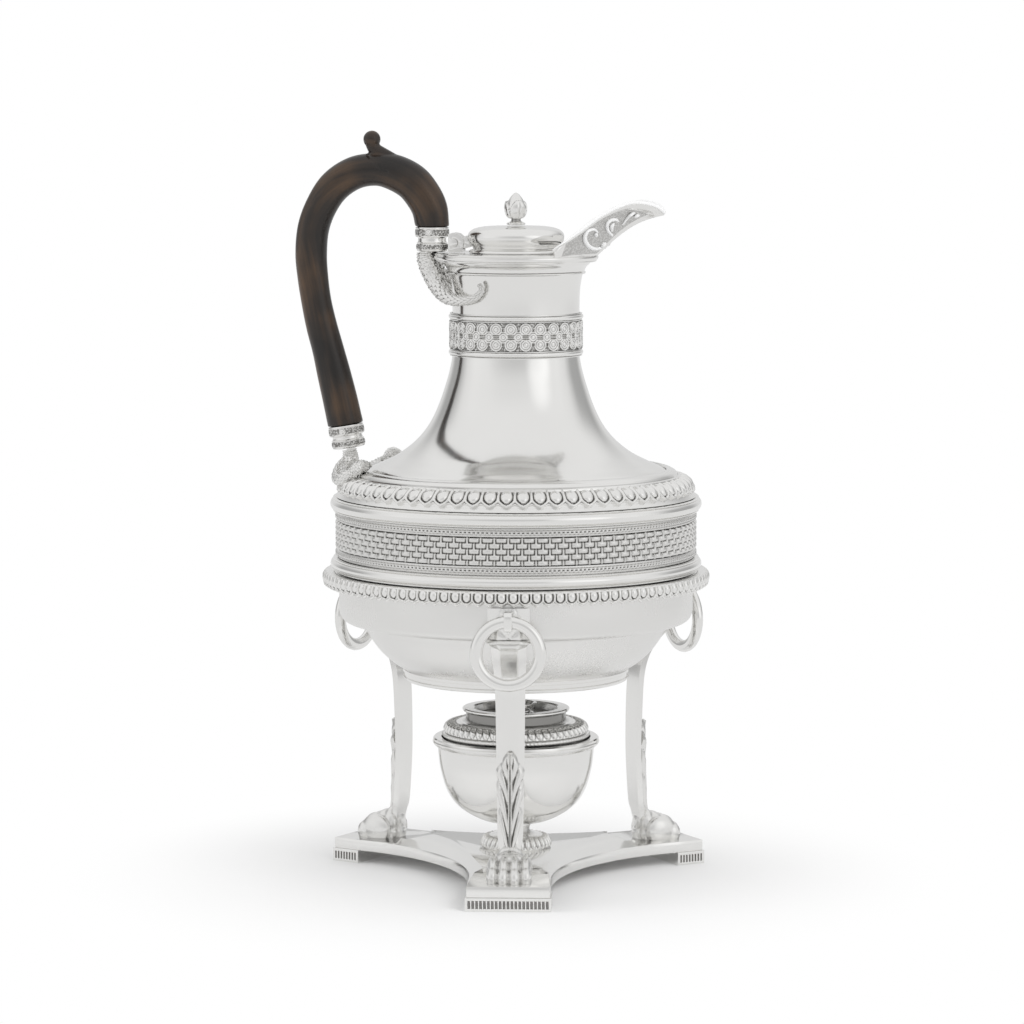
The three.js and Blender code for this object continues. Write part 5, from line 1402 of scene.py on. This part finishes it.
for side, name in ((-1, "near"), (1, "far")):
    points = [
        (-37.4, side * 3.39, MOUTH + 0.2, 3.6), (-37.0, side * 3.69, MOUTH - 3, 3.9),
        (-34.7, side * 5.01, MOUTH - 8, 4.0), (-31.2, side * 8.61, MOUTH - 13.4, 3.6),
        *(around_neck(*row, side) for row in (
            (27, 5.67, 1.43, 1.0), (41, 6.2, 1.07, 0.8), (54, 6.2, 0.87, 0.62), (65, 5.8, 0.8, 0.5),
            (72, 4.73, 0.87, 0.4), (70, 3.87, 1.07, 0.33))),
    ]
    hand_in(scaly(points, 8, 32, 0.62), f"scaly_tail_{name}", "jug", CAST, f"tail_{name}")

shoulder_line = [*from_level(shoulder_low, (74.9, 0), (72.8, 4.6), (68, 7.3), (66.5, 9.2), (62.3, 11.2)),
                 *[tuple(point) for point in flare[18:]]]


def shoulder_level(radius):
    for (outer, low), (inner, high) in zip(shoulder_line, shoulder_line[1:]):
        if inner <= radius <= outer:
            return mix(low, high, (outer - radius) / (outer - inner))
    return shoulder_line[-1][1]


def over_shoulder(inward, spread_out, lift, thick, side):
    x, y = 2.5 * inward - 73, side * 30 * spread_out
    return (x, y, shoulder_level(min(74.8, math.hypot(x, y))) + 2.5 * lift, 2.5 * thick)


def below(distance):
    return LOWER + Vector((math.sin(LEAN), 0, -math.cos(LEAN))) * distance


for side, name in ((-1, "near"), (1, "far")):
    neck_start, throat = below(10.6), below(14.35)
    points = [
        (neck_start.x, side * 3.3, neck_start.z, 2.1), (throat.x - 0.3, side * 4.4, throat.z, 2.4),
        *(over_shoulder(*row, side) for row in (
            (0.4, 0.32, 2.5, 1), (0.6, 0.6, 2.2, 1), (1.68, 0.86, 1.66, 0.96), (3.4, 1, 1.56, 0.92),
            (4.5, 1.02, 1.6, 0.95), (5.4, 1.01, 1.62, 1.22), (6.3, 0.98, 1.3, 0.95), (7, 0.95, 0.98, 0.5),
            (7.25, 0.94, 0.9, 0.2))),
    ]
    serpent = scaly(points, 8, 40, 0.5)
    brows = (over_shoulder(5.9, 1.0 + 0.052 * eye_side, 2.15, 0, side) for eye_side in (-1, 1))
    eyes = [sphere(at(*brow[:3]), 0.62, 14, 8) for brow in brows]
    hand_in(join(serpent, *eyes), f"serpent_{name}_scaly", "jug", CAST, f"serpent_{name}")

# %% [markdown]
# The lid turns on a pin between two cheeks. These small parts keep the shape of their solids with eased edges.

# %% Hinge
eased("hinge_bracket", 0.3, "hinge_cheeks", "jug", segments=3)
eased("hinge_pin", 0.25, "hinge_pin_eased", "jug")
eased("lid_arm", 0.3, "lid_arm_eased", "jug_lid", segments=3)

# %% [markdown]
# ## The lid
# The lid is a low dome that is widest above its foot, so its side pulls in under a soft edge. The bud on top sits
# on a small disc: three pointed leaves clasp it from below, and the bud above them is stippled.

# %% Lid
_, lid_low, lid_high = reach("lid")
lid_foot, lid_rise = MOUTH + 0.3, lid_high - MOUTH - 0.3


def on_lid(*places):
    """Places of the lid's profile, each as its radius and its share of the lid's height."""
    return [(radius, lid_foot + share * lid_rise) for radius, share in places]


lid_outside = smoothed([
    (0, lid_high), (6, lid_high - 0.15),
    *on_lid((12.9, 0.965), (17.1, 0.885), (19.3, 0.75), (19.9, 0.58), (19.3, 0.36), (17.6, 0.15)),
], 7)
lid = turned([
    *lid_outside, *on_lid((17.9, 0.12), (18.9, 0.1), (19.4, 0.06), (19.5, 0.03), (19.3, 0), (17.1, 0)),
    (17.1, lid_low), (16.1, lid_low), *on_lid((16.1, 0.3), (18.7, 0.58)), (16.3, lid_foot + lid_rise - 2.2),
    (0, lid_high - 1.2),
], 128, 35)
hand_in(lid, "domed_lid", "jug_lid", POLISHED, "lid")

# %% Bud finial
_, bud_low, bud_high = reach("finial")
bud_rise = bud_high - bud_low
BUD = smoothed([(0.20, 0.60), (0.26, 0.80), (0.34, 0.92), (0.46, 1.0), (0.58, 1.0), (0.68, 0.93), (0.79, 0.79),
                (0.89, 0.57), (0.96, 0.34), (0.99, 0.16)], 5)
BUD_RADIUS = 4.3
bud_line = [Vector((0, 0, bud_low + up * bud_rise, BUD_RADIUS * wide)) for up, wide in BUD]


def bud_relief(u, v):
    """Three leaves with pointed tips clasp the bud; a small bud shows between two of them."""
    across = abs((u * 3 + 0.5) % 1 - 0.5) * 2
    width = 0.96 * bump(min(1.0, max(0.0, (v - 0.12) / 0.5)))
    if v < 0.62 and across < width:
        rib = ridge(across, 0, 0.1)
        return 0.5 - 0.3 * (across / width) ** 2 + 0.2 * v - 0.35 * rib
    if v < 0.34 and 1 - across < 0.3 * bump(v / 0.17 - 1):
        return 0.05
    return -0.7 + (0.08 * abs(math.sin(u * 24 * math.pi) * math.sin(v * 26 * math.pi)) if v < 0.95 else 0)


bud = rod(bud_line, 96, relief=bud_relief, outwards=Vector((-1, 0, 0)))
disc = turned(from_level(
    bud_low, (0, 0), (3.6, 0), (3.87, 0.25), (3.87, 0.6), (3.6, 0.85), (2.7, 1.2), (2.0, 1.7), (1.9, 2.2),
    (2.2, 2.5), (2.45, 2.75), (2.2, 3.0), (0, 3.2)
), 64, 30)
hand_in(join(bud, disc), "bud_finial", "jug_lid", CHASED, "finial")
eased("finial_nut", 0.25, "finial_nut_eased", "jug_lid")

# %% [markdown]
# ## The lamp
# The lamp stands on a gadrooned foot. Its bowl is plain, its cover has slanted gadroons round a low collar, and in
# the middle of the dish a cup holds the plaited wick.

# %% Lamp foot and bowl
_, stem_low, stem_high = reach("lamp_stem")
foot_face = smoothed(from_level(
    stem_low, (11.6, 8.1), (13.0, 7.0), (14.0, 5.4), (14.4, 3.9), (13.9, 2.7)
), 3)
foot_lobes = gadroon_border(34, foot_face, 16, 0.98, 5.4, 0.95, 0.4, 0.0, 0.0, columns=12, top=0.2)
stem = turned([
    *from_level(stem_low, (0, 0), (15.1, 0), (15.5, 0.35), (15.5, 1.0), (15.1, 1.4), (14.5, 1.6), (14.2, 2.2),
        (13.3, 2.7), (13.3, 6.6), (10.9, 8.2), (9.6, 8.45), (8.4, 8.6), (7.2, 8.9), (6.4, 9.4), (5.8, 10.2),
        (5.7, 11), (5.9, 11.8)),
    *from_level(stem_high, (6.4, -0.5), (6.4, 0), (0, 0)),
], 96, 30)
hand_in(join(foot_lobes, stem), "lamp_foot", "lamp", CHASED, "lamp_stem")

_, lamp_low, lamp_high = reach("lamp_bowl")
lamp_outside = smoothed([
    *from_level(lamp_low, (0.0, 0), (10.4, 0.5), (18.2, 3.3), (24.7, 7.9), (28.9, 14.1), (31.4, 22.5)),
    (32.3, lamp_high - 7.4), (32.5, lamp_high - 4.2),
], 7)
lamp_inside = [(max(0.0, radius - SHEET), level + SHEET * (1 - (level - lamp_low) / (lamp_high - lamp_low)))
               for radius, level in reversed(lamp_outside)]
lamp_bowl = turned([
    *lamp_outside,
    *from_level(lamp_high, (33.2, -3.9), (34.2, -3.0), (34.7, -2.2), (34.7, -1.7), (34.4, -1.5), (34.6, -1.2),
        (34.5, -0.5), (34, 0), (31.1, 0)),
    *lamp_inside,
], 144, 30)
hand_in(lamp_bowl, "lamp_bowl_round", "lamp", POLISHED, "lamp_bowl")

# %% Lamp cover with slanted gadroons
_, cover_low, cover_high = reach("lamp_cover")
cover_face = smoothed(from_level(
    cover_low, (24.6, 5.3), (26.3, 5.3), (28.3, 4.6), (29.5, 3.2), (29.9, 1.6)
), 3)
cover_lobes = gadroon_border(56, cover_face, 18, 1.5, 6.6, 1.15, 0.5, 0.0, 0.0, columns=12, top=0.1, slide=0.4)


def rope(u, v):
    angle = math.pi * (1 - 2 * v)
    thick = 0.62 + 0.16 * math.sin(2 * math.pi * u)
    return 30.15 + thick * math.cos(angle / 2), cover_low + 0.8 + 0.75 * math.sin(angle / 2), 0.6 * v


cover = turned([
    *from_level(cover_low, (29.2, 0), (30.2, 0), (30.6, 0.2), (30.1, 0.4), (30.1, 1.2), (29.0, 1.2), (27.6, 2.9),
        (26.0, 3.7), (25.0, 4.2), (24.9, 5.9), (24.2, 6.3), (23.2, 6.4), (22.2, 6.3), (21.4, 6.5), (20.9, 6.9)),
    *from_level(cover_high, (20.8, -1.9), (21.2, -1.5), (22, -1.3), (22.3, -0.9), (22.25, -0.35), (21.8, 0),
        (18.2, 0), (17.4, -0.5), (16.6, -3), (10, -3.4), (6.3, -3.6), (6.3, -4.8), (19.4, -4.4)),
    *from_level(cover_low, (19.4, 5), (26.2, 3.4), (29.2, 0)),
], 144, 30)
cover = join(cover, cover_lobes, border(120, 5, 7, rope, 60))
hand_in(cover, "lamp_cover_gadrooned", "lamp_top", CHASED, "lamp_cover")

# %% Wick cup and wick
_, holder_low, holder_high = reach("wick_holder")
holder = turned([
    *from_level(holder_low, (4.5, 0), (5.9, 0), (5.9, 7.3), (7.3, 7.3), (7.5, 7.5), (7.5, 8.0), (7.0, 8.3),
        (6.1, 8.7), (6.0, 9.0)),
    *from_level(holder_high, (7.2, -2.2), (8.7, -0.5), (8.7, -0.2), (8.3, 0), (7.7, 0), (6.4, -1.2), (4.5, -2.7)),
    (4.5, holder_low),
], 96, 30)
hand_in(holder, "wick_cup", "lamp_top", POLISHED, "wick_holder")

_, wick_low, wick_high = reach("wick")
WICK_RADIUS, WICK_STEPS, WICK_SHOULDER = 4.2, 130, 124
wick_line = []
for i in range(WICK_STEPS + 1):
    rounded = bump(max(0.0, (i - WICK_SHOULDER) / 7)) ** 0.4
    wick_line.append(Vector((0, 0, mix(wick_low, wick_high - 0.15, i / WICK_STEPS), WICK_RADIUS * rounded)))


def plait(u, v):
    one, other = math.sin(2 * math.pi * (4 * u + 15 * v)), math.sin(2 * math.pi * (4 * u - 15 * v))
    return 0.16 * max(one, other) - 0.2


wick = rod(wick_line, 48, relief=plait, outwards=Vector((1, 0, 0)))
hand_in(wick, "plaited_wick", "lamp_top", WICK_COTTON, "wick", slot=COTTON)

# %% [markdown]
# ## Floor and light
# The jug stands on a plain white floor that has no edge: far out, and in reflections, the floor is an even white.
# Near the jug it is a matt surface that keeps the shadow. Silver shows only what stands round it, so the sky is
# white above and behind and a soft grey in front, as in a light tent with its front open, and large soft lamps
# stand at both sides.

# %% Floor
deselect()
bpy.ops.mesh.primitive_circle_add(vertices=96, radius=6, fill_type="NGON", location=(0, 0, 0))
floor = bpy.context.object
floor.name = "floor"
bench = Bench(bpy.data.materials.new("white_floor"))
distance = bench.add("VectorMath", {"operation": "LENGTH"}, output=1, Vector=bench.add("TexCoord", output=3))
edge = bench.rise(distance, 0.05, 0.19, kind="SMOOTHSTEP")
camera_ray, glossy_ray, transmission_ray = (bench.add("LightPath", output=i) for i in (0, 3, 6))
matt = bench.add("BsdfDiffuse", Color=(0.86, 0.86, 0.86, 1))
white = bench.add("Emission", Color=(1, 1, 1, 1))
soft_grey = bench.add("Emission", Color=(0.80, 0.80, 0.80, 1))
far = bench.add("MixShader", Fac=glossy_ray, Shader=white, Shader_001=soft_grey)
seen = bench.add("MixShader", Fac=edge * (camera_ray + glossy_ray + transmission_ray), Shader=matt, Shader_001=far)
bench.end("Material", seen)
floor.data.materials.append(bpy.data.materials["white_floor"])

# %% Sky
bpy.context.scene.world = bpy.data.worlds.new("light_tent")
bench = Bench(bpy.context.scene.world)
direction = bench.add("TexCoord", output=0)
behind = bench.add("VectorMath", {"operation": "DOT_PRODUCT"}, output=1, Vector=direction,
                   Vector_001=(-math.sin(TURN), math.cos(TURN), 0))
upward = bench.add("SeparateXYZ", output=2, Vector=direction)
GREYS = [(0.0, 0.60), (0.05, 0.66), (0.20, 0.84), (0.40, 0.88), (0.56, 0.78), (0.70, 0.42), (0.88, 0.40),
         (0.96, 0.74), (0.99, 0.72)]
stops = [(position, (grey,) * 3) for position, grey in GREYS]
round_about = bench.add("ValToRGB", {"stops": stops}, Fac=behind * 0.5 + 0.5)
overhead = bench.rise(upward, 0.20, 0.70, kind="SMOOTHSTEP")
window = bench.add("VectorMath", {"operation": "DOT_PRODUCT"}, output=1, Vector=direction,
                   Vector_001=(math.sin(TURN + 0.72) * 0.97, -math.cos(TURN + 0.72) * 0.97, 0.24))
glow = bench.rise(window, 0.90, 0.99, 0.26, "SMOOTHSTEP")
camera_ray = bench.add("LightPath", output=0)
level = camera_ray + (1 - camera_ray) * (round_about + overhead * (0.85 - round_about) + glow)
bench.end("World", bench.add("Background", Color=bench.add("CombineXYZ", X=level, Y=level, Z=level), Strength=1.0))


# %% Lamps
def softbox(name, place, size, power):
    deselect()
    bpy.ops.object.light_add(type="AREA", location=place)
    lamp = bpy.context.object
    lamp.name = name
    lamp.data.shape = "RECTANGLE"
    lamp.data.size, lamp.data.size_y = size
    lamp.data.energy = power
    lamp.visible_glossy = False
    lamp.rotation_mode = "QUATERNION"
    lamp.rotation_quaternion = (Vector((0, 0, 0.13)) - Vector(place)).to_track_quat("-Z", "Y")


softbox("key", (0.85, -0.75, 0.95), (0.7, 0.7), 7)
softbox("side", (-0.95, -0.35, 0.55), (0.5, 0.9), 3)
print("floor, sky and lamps are in place")

# %% [markdown]
# The last cell prints how many pieces were made.

# %% Finish
print("pieces:", len(pieces))
